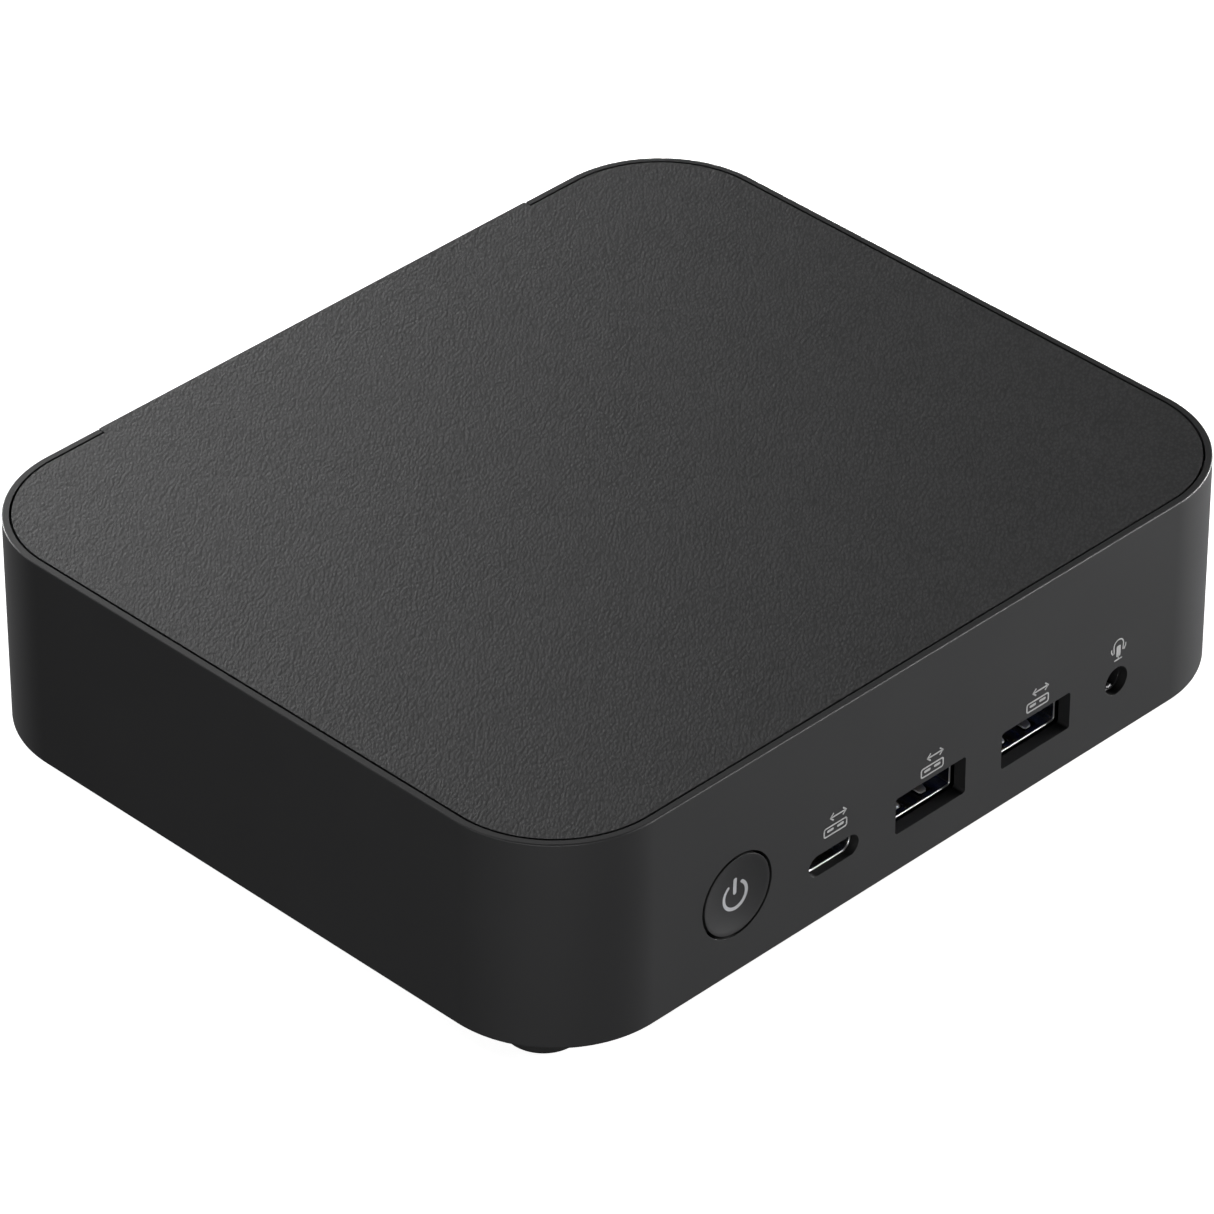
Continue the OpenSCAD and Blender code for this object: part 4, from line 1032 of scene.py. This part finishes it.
@dataclass
class Feet:
    """Four rubber rings and the captive screw in the middle of each."""

    outer: float = 5.43
    inner: float = 2.8
    box: Box = field(default_factory=lambda: Box("rubber_feet"))

    def spread(self) -> tuple[float, float]:
        """Distances between the feet's centres."""
        size = self.box.high - self.box.low
        return size.x - 2 * self.outer, size.y - 2 * self.outer

    def build(self) -> Piece:
        """Turns one foot with two grip grooves in its sole and sets out four."""
        high = self.box.high.z
        arc = [math.pi / 2 * k / 5 for k in range(6)]
        edge = [(self.outer - 0.45 + 0.45 * math.sin(t), 0.45 - 0.45 * math.cos(t)) for t in arc]
        sole = [(self.inner, 0.35), (self.inner + 0.15, 0.1), (self.inner + 0.35, 0)]
        for radius in (3.75, 4.45):
            sole += [(radius - 0.14, 0), (radius - 0.08, 0.16), (radius + 0.08, 0.16), (radius + 0.14, 0)]
        profile = sole + edge + [(self.outer, high), (self.inner, high)]
        foot = Solid().lathe(profile, Plane.UP, (0, 0), 96).piece("rubber_feet_rings")
        foot.soften(0, angle=35)
        return repeated(foot, Repeat.CORNERS, RUBBER, step=(*self.spread(), 0))

    def screws(self) -> Piece:
        """Screws with a domed head and a cross recess."""
        box = Box("cover_screws")
        shape = screw_shape(2.4, 1.7, 1.25, box.high.z - box.low.z)
        return repeated(shape, Repeat.CORNERS, SCREW, start=(0, 0, box.low.z), step=(*self.spread(), 0))

    def dress(self, feet: Piece, screws: Piece) -> None:
        """Hands both over."""
        feet.hand_over(CHASSIS, "rubber_feet")
        screws.thing.name = "captive_screws"
        screws.hand_over(CHASSIS, "cover_screws")


def screw_shape(head_r: float, head_h: float, shank_r: float, length: float) -> Piece:
    """Screw that points up from its head at height 0.

    Args:
        head_r: radius of the head, in millimetres.
        head_h: height of the head.
        shank_r: radius over the thread.
        length: length from the head's face to the tip.

    Returns:
        The screw, with thread rings and a cross recess.
    """
    dome = [(0, 0.0), (head_r * 0.6, 0.03), (head_r * 0.88, 0.16), (head_r, 0.45), (head_r, head_h)]
    thread: list[Flat] = [(shank_r, head_h)]
    depth = head_h + 0.3
    while depth < length - 0.8:
        thread += [(shank_r, depth), (shank_r * 0.84, depth + 0.22)]
        depth += 0.45
    profile = dome + thread + [(shank_r * 0.84, length - 0.4), (shank_r * 0.5, length), (0, length)]
    body = Solid().lathe(profile, Plane.UP, (0, 0), 36).piece("screw")
    arm, width = head_r * 0.62, head_r * 0.11
    for x, y in ((arm, width), (width, arm)):
        body.combine(Solid().block((-x, -y, -0.2), (x, y, head_h * 0.5)).piece("slot"))
    return body.soften(0, angle=35)


# ---------------------------------------------------------------- power button


@dataclass
class PowerKey:
    """The dished button cap and its symbol."""

    radius: float = 6.0
    flange: float = 7.3
    cap: float = 2.2
    plate: float = 0.8
    stem: Flat = (3.2, 2.2)
    dish: float = 0.7
    edge: float = 0.03
    symbol_radius: float = 2.06
    symbol_shift: Flat = (0.24, -0.46)
    stroke: float = 0.5
    opening: float = 38
    bar_width: float = 0.6
    bar_low: float = 0.36
    bar_high: float = 2.48
    box: Box = field(default_factory=lambda: Box("power_button"))

    @property
    def at(self) -> Flat:
        """Centre of the button on the front face."""
        return self.box.centre.x, self.box.centre.z

    def face(self, radius: float) -> float:
        """Depth of the dished face at a radius, behind the cap's front."""
        inner = self.radius - self.edge
        return self.dish * (1 - (min(radius, inner) / inner) ** 2)

    def build(self) -> Piece:
        """Turns the cap and joins the stem that pushes the switch."""
        front = self.box.low.y
        inner = self.radius - self.edge
        dish = [(inner * k / 12, front + self.face(inner * k / 12)) for k in range(12)]
        arc = [math.pi / 2 * k / 6 for k in range(7)]
        edge = [(inner + self.edge * math.sin(t), front + self.edge * (1 - math.cos(t))) for t in arc]
        back = front + self.cap
        tail = [(self.radius, back), (self.flange, back), (self.flange, back + self.plate),
                (0, back + self.plate)]
        cap = Solid().lathe(dish + edge + tail, Plane.FRONT, self.at, 128).piece("power_button_cap")
        middle = Box("switch_plunger").centre.z
        stem = Solid().block((self.at[0] - self.stem[0] / 2, back + 0.1, middle - self.stem[1] / 2),
                             (self.at[0] + self.stem[0] / 2, self.box.high.y, middle + self.stem[1] / 2))
        return cap.combine(stem.piece("stem"), "UNION").soften(0, angle=35)

    def symbol(self) -> Piece:
        """Ring that is open at the top, with an upright bar; the strokes have round ends."""
        gap = math.radians(self.opening)
        turns = [gap + (math.tau - 2 * gap) * k / 60 for k in range(61)]
        ring = [(self.symbol_radius * math.sin(t), self.symbol_radius * math.cos(t)) for t in turns]
        count = 14
        bar = [(0.0, self.bar_low + (self.bar_high - self.bar_low) * k / count) for k in range(count + 1)]
        centre = (self.at[0] + self.symbol_shift[0], self.at[1] + self.symbol_shift[1])
        shift = Vector(self.symbol_shift)
        strokes = Strokes(centre, self.box.low.y, self.stroke, 0.25, lambda p: self.face((p + shift).length) - 0.012)
        solid = Solid()
        strokes.draw(solid, ring)
        strokes.draw(solid, bar, self.bar_width)
        return solid.piece("power_symbol_inlay").soften(0, angle=50)

    def dress(self, cap: Piece, symbol: Piece) -> None:
        """Hands both over to the button's body."""
        # The cap's sides take the near-black finish: painted shade in the gap round the cap.
        cap.dress(KEY).dress_part(OPENING_SHADE_PAINT, lambda at, normal: normal.y > -0.8)
        cap.hand_over("button", "power_button")
        symbol.dress(GUIDE).hand_over("button", "power_symbol")


@dataclass
class Strokes:
    """Draws thin raised strokes with round ends on a face that looks towards the front."""

    at: Flat
    face: float
    width: float
    depth: float
    height: Callable[[Vector], float] = lambda place: -0.015
    across: int = 4

    def draw(self, solid: Solid, path: Sequence[Flat], width: Optional[float] = None, closed: bool = False) -> None:
        """Adds one stroke.

        Args:
            solid: the solid that takes the stroke.
            path: points of its middle line about the centre.
            width: the stroke's width, when it isn't the usual one.
            closed: joins the end to the start.
        """
        half = (width or self.width) / 2
        points = [Vector(p) for p in path]
        if not closed:
            points = self.with_round_ends(points, half)
        lengths = [0.0]
        for a, b in zip(points, points[1:]):
            lengths.append(lengths[-1] + (b - a).length)
        rings = []
        for i, point in enumerate(points):
            ahead = points[(i + 1) % len(points)] if closed else points[min(i + 1, len(points) - 1)]
            behind = points[i - 1] if closed else points[max(i - 1, 0)]
            along = (ahead - behind).normalized()
            normal = Vector((-along.y, along.x))
            end = min(lengths[i], lengths[-1] - lengths[i])
            reach = half if closed or end >= half else math.sqrt(max(half * half - (half - end) ** 2, 1e-6))
            row = [point + normal * reach * (2 * k / self.across - 1) for k in range(self.across + 1)]
            front = [self.lift(p, self.height(p)) for p in row]
            back = [self.lift(p, self.height(p) + self.depth) for p in reversed(row)]
            rings.append(front + back)
        solid.skin(rings, loop=closed)

    def with_round_ends(self, points: list[Vector], half: float) -> list[Vector]:
        """Adds points near both ends, so that the round ends are smooth."""
        steps = [half * (1 - math.cos(math.pi / 2 * k / 6)) for k in range(6)]
        out = []
        for first, second in ((points[0], points[1]), (points[-1], points[-2])):
            along = (second - first).normalized()
            out.append([first - along * half + along * step for step in steps])
        return out[0] + points + out[1][::-1]

    def lift(self, point: Vector, depth: float) -> Vector:
        """Place of a point at a depth behind the face."""
        return Plane.FRONT.at(self.at[0] + point.x, self.at[1] + point.y, self.face + depth)


def arc_path(centre: Flat, radius: float, start: float, end: float, steps: int = 16) -> list[Flat]:
    """Arc between two angles in degrees."""
    turns = [math.radians(start + (end - start) * k / steps) for k in range(steps + 1)]
    return [(centre[0] + radius * math.cos(t), centre[1] + radius * math.sin(t)) for t in turns]


@dataclass
class FrontPrint:
    """Pictograms printed above the front sockets."""

    ink: float = 0.03
    stroke: float = 0.24
    row_low: float = 17.43
    row_high: float = 19.02
    headset_z: float = 17.75
    face: float = field(default_factory=lambda: Box("housing").low.y)

    def plug(self, solid: Solid, x: float, z: float) -> None:
        """Outline of a plug's mouth with two windows."""
        pen = Strokes((x, z), self.face, self.stroke, self.ink)
        frame_path = rounded_rect(4.2, 1.36, 0.3, 4)
        pen.draw(solid, frame_path, closed=True)
        for s in (-1, 1):
            pen.draw(solid, [(s * 0.95 - 0.42, 0.1), (s * 0.95 + 0.42, 0.1)], 0.42)

    def arrows(self, solid: Solid, x: float, z: float) -> None:
        """Arrow with a head at each end."""
        pen = Strokes((x, z), self.face, self.stroke, self.ink)
        pen.draw(solid, [(-1.35, 0), (1.35, 0)])
        for s in (-1, 1):
            pen.draw(solid, [(s * 0.95, 0.5), (s * 1.52, 0), (s * 0.95, -0.5)])

    def headset(self, solid: Solid, x: float, z: float) -> None:
        """Headband with two ear cups round a microphone on its stand."""
        pen = Strokes((x, z), self.face, self.stroke, self.ink)
        band = [(0.88, -0.5)] + arc_path((0, 0.49), 0.95, 0, 180, 20) + [(-0.88, -0.5)]
        pen.draw(solid, band, 0.2)
        for s in (-1, 1):
            pen.draw(solid, [(s * 1.42, 0.22), (s * 1.4, -0.15), (s * 1.14, -0.56)], 0.22)
        mouth_piece = rounded_rect(0.84, 1.78, 0.2, 4, (x, z - 0.46))
        solid.prism(mouth_piece, Plane.FRONT, self.face - self.ink / 2, self.face + self.ink / 2)
        pen.draw(solid, [(0, -1.3), (0, -1.7)], 0.2)
        pen.draw(solid, [(-0.68, -1.82), (0.68, -1.82)], 0.21)

    def build(self) -> Piece:
        """Prints every pictogram as one thin piece."""
        solid = Solid()
        for node, shift in (("usb_c_shell", 0.18), ("usb_1_shell", 0.15), ("usb_2_shell", 0.15)):
            x = Box(node).centre.x + shift
            self.plug(solid, x, self.row_low - 0.5)
            self.arrows(solid, x + 0.5, self.row_high - 0.1)
        jack = Box("audio_jack").centre
        self.headset(solid, jack.x + 0.16, self.headset_z)
        return solid.piece("front_print")

    def dress(self, piece: Piece) -> None:
        """Inks the print."""
        piece.dress(LABEL_INK).hand_over(CHASSIS)


# ---------------------------------------------------------------- sockets


def faces_in(place: Vector, normal: Vector, depth: float) -> bool:
    """True where a face behind a mouth's edge looks towards the mouth's middle line."""
    return place.y > depth / 2 and normal.x * place.x + normal.z * place.z < -0.1 and abs(normal.y) < 0.5


def rolled_sheet(front: float, back: float, sheet: float) -> list[Flat]:
    """Inset and depth of each ring of a sheet tube whose front edge is fully rounded."""
    half = sheet / 2
    turns = [math.pi * k / 8 for k in range(9)]
    edge = [(half - half * math.cos(t), front + half - half * math.sin(t)) for t in turns]
    return [(0.0, back)] + edge + [(sheet, back)]


@dataclass
class WideSocket:
    """A wide data socket behind the front wall."""

    key: str
    width: float = 13.14
    height: float = 5.72
    sheet: float = 0.31
    length: float = 14.0
    spring_x: float = 2.6
    spring_w: float = 1.8
    spring_tip: float = 1.25
    spring_root: float = 6.5
    tongue_w: float = 11.1
    tongue_t: float = 1.84

    @property
    def mouth(self) -> Vector:
        """Centre of the shell's front edge."""
        box = Box(f"{self.key}_shell")
        return Vector((box.centre.x, box.low.y, box.centre.z))

    def section(self, inset: float) -> list[Flat]:
        """Outline of the shell, set in by a distance."""
        at = (self.mouth.x, self.mouth.z)
        return rounded_rect(self.width - 2 * inset, self.height - 2 * inset, 0.62 - inset, 6, at)

    def shell(self) -> Piece:
        """Sheet tube with a rolled front edge, slots round its springs, and the bent springs."""
        front, back = self.mouth.y, self.mouth.y + self.length
        rows = rolled_sheet(front, back, self.sheet)
        rings = [[Plane.FRONT.at(u, v, y) for u, v in self.section(inset)] for inset, y in rows]
        tube = Solid().skin(rings, loop=True).piece(f"{self.key}_sheet_shell")
        slots, springs = Solid(), Solid()
        for side in (-1, 1):
            for end in (-1, 1):
                x = self.mouth.x + side * self.spring_x
                wall = self.mouth.z + end * self.height / 2
                gap = self.spring_w / 2 + 0.3
                low, high = sorted((wall + end * 0.3, wall - end * (self.sheet + 0.3)))
                slots.block((x - gap, front + self.spring_tip - 0.35, low), (x + gap, front + self.spring_root, high))
                self.spring(springs, x, wall, -end)
        tube.combine(slots.piece("spring_slots")).soften(0, angle=35).dress(STEEL)
        # Inner faces take the darker, bluish finish: painted shade and painted reflection.
        tube.dress_part(INNER_SHEET_SHADE_PAINT, lambda at, normal: faces_in(at - self.mouth, normal, self.sheet))
        return join(tube, springs.piece("springs").soften(0.05, 2, 40).dress(SPRING))

    def spring(self, solid: Solid, x: float, wall: float, inward: int) -> None:
        """Adds one sheet spring that bends into the mouth and back out at its tip."""
        front = self.mouth.y
        rows = [(self.spring_root + 0.05, 0.0, 1.0), (5.0, 0.06, 1.0), (3.6, 0.24, 1.0), (2.6, 0.36, 0.96),
                (2.0, 0.3, 0.88), (self.spring_tip + 0.25, 0.12, 0.78), (self.spring_tip, 0.05, 0.5)]
        rings = []
        for depth, rise, share in rows:
            half = self.spring_w / 2 * share
            near, far = wall + inward * rise, wall + inward * (rise + self.sheet * 0.8)
            corners = ((x - half, near), (x + half, near), (x + half, far), (x - half, far))
            rings.append([Plane.FRONT.at(u, v, front + depth) for u, v in corners])
        solid.skin(rings)

    def insulator(self) -> Piece:
        """Tongue with a rounded front edge on the block that closes the shell."""
        x, front, z = self.mouth
        contacts = Box(f"{self.key}_contacts")
        low, high = contacts.high.z, contacts.high.z + self.tongue_t
        tongue = rounded([(front + 0.9, low, 0.35), (front + 11.2, low, 0), (front + 11.2, high, 0),
                          (front + 0.9, high, 0.35)], 5)
        form = Solid().prism(tongue, Plane.SIDE, x - self.tongue_w / 2, x + self.tongue_w / 2)
        piece = form.piece(f"{self.key}_tongue")
        block = Solid().prism(self.section(self.sheet + 0.05), Plane.FRONT, front + 10.6, front + self.length - 0.2)
        return piece.combine(block.piece("block"), "UNION").soften(0.08, 2, 40)

    def contacts(self) -> Piece:
        """Four sprung strips under the tongue."""
        box = Box(f"{self.key}_contacts")
        side = [(box.low.y, box.high.z), (box.low.y + 0.5, box.low.z), (box.high.y, box.low.z),
                (box.high.y, box.high.z)]
        strip = Solid().prism(side, Plane.SIDE, -0.5, 0.5).piece(f"{self.key}_contact_strips").soften(0.03, 1, 40)
        return repeated(strip, Repeat.LINE, GOLD, 4, (box.centre.x - 3.5, 0, 0), (7 / 3, 0, 0))

    def build(self) -> None:
        """Builds, dresses and hands over the three pieces."""
        self.shell().hand_over(CHASSIS, f"{self.key}_shell")
        self.insulator().dress(NAVY).hand_over(CHASSIS, f"{self.key}_insulator")
        self.contacts().hand_over(CHASSIS, f"{self.key}_contacts")


@dataclass
class OblongSocket:
    """The small reversible data socket."""

    width: float = 8.94
    height: float = 3.2
    sheet: float = 0.3
    box: Box = field(default_factory=lambda: Box("usb_c_shell"))

    def shell(self) -> Piece:
        """Seamless tube with a rounded front edge."""
        front, back = self.box.low.y, self.box.high.y
        at = (self.box.centre.x, self.box.centre.z)
        rings = [[Plane.FRONT.at(u, v, y) for u, v in oblong(self.width - 2 * i, self.height - 2 * i, 16, at)]
                 for i, y in rolled_sheet(front, back, self.sheet)]
        return Solid().skin(rings, loop=True).piece("usb_c_drawn_shell").soften(0, angle=35)

    def contacts(self) -> Piece:
        """Fine contacts on both faces of the tongue."""
        tongue = Box("usb_c_tongue")
        front = tongue.low.y + 0.7
        form = Solid()
        for z in (self.box.centre.z + 0.35, self.box.centre.z - 0.39):
            form.block((-0.12, front, z), (0.12, front + 3.5, z + 0.04))
        strip = form.piece("usb_c_contact_strips")
        return repeated(strip, Repeat.LINE, GOLD, 12, (tongue.centre.x - 2.75, 0, 0), (0.5, 0, 0))

    def build(self) -> None:
        """Builds, dresses and hands over the shell, the tongue and its contacts."""
        mouth = Vector((self.box.centre.x, self.box.low.y, self.box.centre.z))
        shell = self.shell().dress(STEEL)
        # Inner faces take the darker, bluish finish: painted shade and painted reflection.
        shell.dress_part(INNER_SHEET_SHADE_PAINT, lambda at, normal: faces_in(at - mouth, normal, self.sheet))
        shell.hand_over(CHASSIS, "usb_c_shell")
        tongue = copied("usb_c_tongue", "usb_c_centre_tongue").soften(0.1, 2, 40).dress(BLACK)
        tongue.hand_over(CHASSIS, "usb_c_tongue")
        self.contacts().hand_over(CHASSIS, slot="contact_gold")


@dataclass
class AudioSocket:
    """The round audio socket: a lipped nose round a smooth bore."""

    bore: float = 1.8
    box: Box = field(default_factory=lambda: Box("audio_jack"))

    def build(self) -> None:
        """Softens the body and adds the ground spring at the bottom of its bore."""
        copied("audio_jack", "audio_jack_body").soften(0.08, 2, 40).dress(LIP).hand_over(CHASSIS, "audio_jack")
        x, level = self.box.centre.x + 0.1, Box("usb_1_shell").centre.z
        front, floor = self.box.low.y + 0.1, level - self.bore
        side = [(front, floor + 0.02), (front + 3.2, floor + 0.02), (front + 3.2, floor + 0.12),
                (front + 0.8, floor + 0.3), (front + 0.1, floor + 0.3)]
        spring = Solid().prism(side, Plane.SIDE, x - 0.5, x + 0.5).piece("audio_ground_spring")
        spring.soften(0.05, 2, 40).dress(SPRING).hand_over(CHASSIS, slot="socket_steel")


# ---------------------------------------------------------------- inside


@dataclass
class Blower:
    """The impeller: a cup with a ring of curved blades."""

    count: int = 29
    hub: float = 10.0
    tip: float = 23.0
    thick: float = 0.7
    sweep: float = 0.42
    box: Box = field(default_factory=lambda: Box("impeller"))

    def blade(self) -> Piece:
        """One blade that sweeps back from the hub to the tip."""
        low, high = self.box.low.z, self.box.high.z - 0.6
        rows = []
        for k in range(9):
            radius = self.hub - 0.3 + (self.tip - self.hub + 0.3) * k / 8
            angle = self.sweep * (radius - self.hub) / (self.tip - self.hub)
            along = Vector((math.cos(angle), math.sin(angle)))
            side = Vector((-along.y, along.x)) * self.thick / 2
            middle = along * radius
            a, b = middle - side, middle + side
            rows.append([Plane.UP.at(p.x, p.y, z) for p, z in ((a, low), (b, low), (b, high), (a, high))])
        return Solid().skin(rows).piece("blade").soften(0.12, 2, 40)

    def build(self) -> None:
        """Repeats the blade round the cup and joins the shaft."""
        centre = self.box.centre
        low, high = self.box.low.z, self.box.high.z
        blades = repeated(self.blade(), Repeat.RING, BLACK, self.count, (centre.x, centre.y, 0),
                          (0, 0, math.tau / self.count))
        cup = [(0, high), (self.hub - 0.6, high), (self.hub - 0.15, high - 0.15), (self.hub, high - 0.6),
               (self.hub, low), (self.hub - 1, low), (self.hub - 1, high - 1), (1, high - 1), (1, low + 0.3),
               (0, low + 0.3)]
        at = (centre.x, centre.y)
        hub = Solid().lathe(cup, Plane.UP, at, 96).piece("impeller_wheel").soften(0, angle=35).dress(BLACK)
        join(hub, blades).hand_over("fan", "impeller")


@dataclass
class Fins:
    """Thin sheets between a base and a top sheet."""

    pitch: float = 1.55
    sheet: float = 0.25
    box: Box = field(default_factory=lambda: Box("fin_stack"))

    def build(self) -> None:
        """Repeats one folded fin across the stack."""
        low, high = self.box.low, self.box.high
        fin = Solid().block((0, low.y, low.z + self.sheet), (self.sheet, high.y, high.z - self.sheet))
        count = int((high.x - low.x) / self.pitch)
        step = (high.x - low.x - self.sheet) / (count - 1)
        fins = repeated(fin.piece("fin_pack"), Repeat.LINE, ALUMINIUM, count, (low.x, 0, 0), (step, 0, 0))
        sheets = Solid().block(low, (high.x, high.y, low.z + self.sheet))
        sheets.block((low.x, low.y, high.z - self.sheet), high)
        join(fins, sheets.piece("fin_sheets").dress(ALUMINIUM)).hand_over(CHASSIS, "fin_stack")


@dataclass
class BoardDetail:
    """Small parts soldered to the motherboard and the edge contacts of its cards."""

    seed: int = 11
    spacing: float = 1.7
    density: float = 250000.0
    fingers: int = 120
    areas: tuple[tuple[Flat, Flat], ...] = (((-24, -30), (-14, 28)), ((40, -24), (60, 8)), ((-4, -52), (30, -44)),
                                            ((40, 18), (52, 42)))

    def small_parts(self) -> None:
        """Strews small parts over the free areas of the upper face."""
        top = Box("motherboard").high.z
        grain = Solid().block((-0.5, -0.28, 0), (0.5, 0.28, 0.45)).piece("small_part").soften(0.05, 1, 40)
        areas = Solid()
        for low, high in self.areas:
            areas.block((*low, top - 0.001), (*high, top))
        sheet = areas.piece("small_board_parts")
        sheet.grow(scatter_tree(), Part=grain.thing, Spacing=self.spacing * MM, Density=self.density, Seed=self.seed,
                   Finish=IVORY.material())
        bpy.data.objects.remove(grain.thing)
        sheet.hand_over(CHASSIS, slot="ivory_plastic")

    def edge_contacts(self) -> None:
        """Gold contacts along the memory module's edge, on both faces."""
        box = Box("memory_module")
        form = Solid()
        for z in (box.low.z - 0.03, box.high.z):
            form.block((0, box.low.y + 1.1, z), (0.35, box.low.y + 4.8, z + 0.03))
        pitch = (box.high.x - box.low.x - 4) / self.fingers
        fingers = repeated(form.piece("memory_edge_contacts"), Repeat.LINE, GOLD, self.fingers,
                           (box.low.x + 2, 0, 0), (pitch, 0, 0))
        fingers.hand_over(CHASSIS, slot="contact_gold")

    def build(self) -> None:
        """Adds both."""
        self.small_parts()
        self.edge_contacts()


@dataclass(frozen=True)
class Softened:
    """A node whose shape stays and whose edges are rounded."""

    node: str
    name: str
    width: float
    finish: Finish

    def build(self) -> None:
        """Copies, rounds, dresses and hands over the node."""
        piece = copied(self.node, self.name).split().soften(self.width, 2, 40).dress(self.finish)
        piece.hand_over(BODY_OF[self.node], self.node)


SOFTENED: tuple[Softened, ...] = (
    Softened("bottom_cover", "bottom_cover_plate", 0.15, BASE),
    Softened("rear_panel", "rear_socket_panel", 0.1, BASE),
    Softened("dc_jack", "dc_jack_body", 0.15, BLACK),
    Softened("dc_pin", "dc_centre_pin", 0.2, STEEL),
    Softened("hdmi_shell", "hdmi_sheet_shell", 0.05, STEEL),
    Softened("hdmi_insulator", "hdmi_tongue", 0.1, BLACK),
    Softened("display_shell", "display_sheet_shell", 0.05, STEEL),
    Softened("display_insulator", "display_tongue", 0.1, BLACK),
    Softened("lan_shield", "lan_sheet_shield", 0.08, STEEL),
    Softened("lan_insert", "lan_socket_body", 0.1, BLACK),
    Softened("usb_rear_shell", "usb_rear_sheet_shell", 0.08, STEEL),
    Softened("usb_rear_insulator", "usb_rear_tongues", 0.1, NAVY),
    Softened("blower_case", "blower_moulding", 0.15, BLACK),
    Softened("blower_lid", "blower_cover_sheet", 0.08, ALUMINIUM),
    Softened("cold_plate", "cold_plate_block", 0.2, COPPER),
)


# ---------------------------------------------------------------- studio


@dataclass
class Studio:
    """Pale floor, soft lights and the camera."""

    azimuth: float = -44.989
    elevation: float = 35.391
    distance: float = 1063.596
    lens: float = 230.67
    target: tuple[float, float, float] = (3.639, 4.304, 11.006)
    glow: float = 0.93

    @staticmethod
    def way(azimuth: float, elevation: float) -> Vector:
        """Direction from the object at an azimuth and an elevation in degrees."""
        a, e = math.radians(azimuth), math.radians(elevation)
        return Vector((math.sin(a) * math.cos(e), -math.cos(a) * math.cos(e), math.sin(e)))

    def camera(self) -> None:
        """Places the camera."""
        data = bpy.data.cameras.new("camera")
        data.lens = self.lens
        data.sensor_width = 36
        data.clip_start, data.clip_end = 0.05, 50
        thing = placed("camera", data)
        way = self.way(self.azimuth, self.elevation)
        thing.location = (Vector(self.target) + way * self.distance) * MM
        thing.rotation_mode = "QUATERNION"
        thing.rotation_quaternion = (-way).to_track_quat("-Z", "Y")
        bpy.context.scene.camera = thing

    def lamp(self, name: str, direction: tuple[float, float], away: float, size: tuple[float, float],
             power: float, aim: tuple[float, float, float] = (0, 0, 20)) -> None:
        """Places a softbox.

        Args:
            name: the lamp's name.
            direction: azimuth and elevation of the lamp as seen from the point it is aimed at, in degrees.
            away: distance from that point, in metres.
            size: width and height of the box, in metres.
            power: radiant power, in watts.
            aim: the point, in millimetres.
        """
        way = self.way(*direction)
        data = bpy.data.lights.new(name, "AREA")
        data.shape = "RECTANGLE"
        data.size, data.size_y = size
        data.energy = power
        thing = placed(name, data)
        thing.location = Vector(aim) * MM + way * away
        thing.rotation_mode = "QUATERNION"
        thing.rotation_quaternion = (-way).to_track_quat("-Z", "Y")
        thing.visible_camera = False

    def floor(self) -> None:
        """Lays a wide pale floor at the feet's level."""
        piece = Solid().block((-6000, -6000, -20), (6000, 6000, 0)).piece("floor")
        shader = Shader("floor_paper")
        tooth = shader.noise(0.6, 3.0)
        piece.thing.data.materials.append(
            shader.end(Base_Color=shader.blend(tooth, (0.80, 0.80, 0.80), (0.84, 0.84, 0.84)), Roughness=0.8,
                       Emission_Color=(1, 1, 1), Emission_Strength=self.glow))
        piece.thing.visible_glossy = False
        piece.thing.visible_diffuse = False

    def air(self, strength: float) -> None:
        """Gives the room an even white glow."""
        world = bpy.data.worlds.new("studio")
        world.use_nodes = True
        glow = world.node_tree.nodes["Background"]
        glow.inputs["Color"].default_value = (1, 1, 1, 1)
        glow.inputs["Strength"].default_value = strength
        bpy.context.scene.world = world

    def build(self) -> None:
        """Sets up the whole studio."""
        bpy.context.scene.view_settings.view_transform = "Standard"
        self.camera()
        self.floor()
        self.air(0.02)
        self.lamp("back_strip", (165, 8), 0.7, (0.8, 0.2), 3.5, (-40, 20, 30))
        self.lamp("back_box", (180, 45), 0.6, (0.5, 0.5), 1.35, (-40, 0, 30))
        self.lamp("left_box", (-90, 5), 1.0, (0.7, 0.4), 2.0)
        self.lamp("right_box", (80, 5), 1.0, (0.5, 0.4), 13.5)
        self.lamp("front_box", (45, 5), 1.0, (0.5, 0.4), 4.6)
        self.lamp("right_edge", (130, 0), 0.5, (0.16, 0.03), 4.6, (0, 0, 17))
        self.lamp("front_edge", (65, 0), 0.5, (0.5, 0.03), 2.4, (0, 0, 17))
        self.lamp("left_edge", (-175, 0), 0.5, (0.1, 0.03), 2.0, (0, 0, 17))
        self.lamp("corner_edge", (-45, 0), 0.5, (0.4, 0.03), 0.8, (0, 0, 17))


# ---------------------------------------------------------------- assembly


def dress_nodes() -> None:
    """Gives every node that keeps its own mesh its finish."""
    for finish, nodes in BY_FINISH.items():
        for node in nodes:
            Piece(frame["nodes"][node]).dress(finish)


def main() -> None:
    """Builds the studio and the computer, from the case inwards."""
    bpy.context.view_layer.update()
    Studio().build()
    dress_nodes()
    case = CaseFrame()
    case.dress(case.build())
    cover = TopCover()
    cover.dress(cover.build(), cover.hooks())
    feet = Feet()
    feet.dress(feet.build(), feet.screws())
    key = PowerKey()
    key.dress(key.build(), key.symbol())
    label = FrontPrint()
    label.dress(label.build())
    for name in ("usb_1", "usb_2"):
        WideSocket(name).build()
    OblongSocket().build()
    AudioSocket().build()
    Blower().build()
    Fins().build()
    BoardDetail().build()
    for softened in SOFTENED:
        softened.build()


if __name__ == "__main__":
    main()
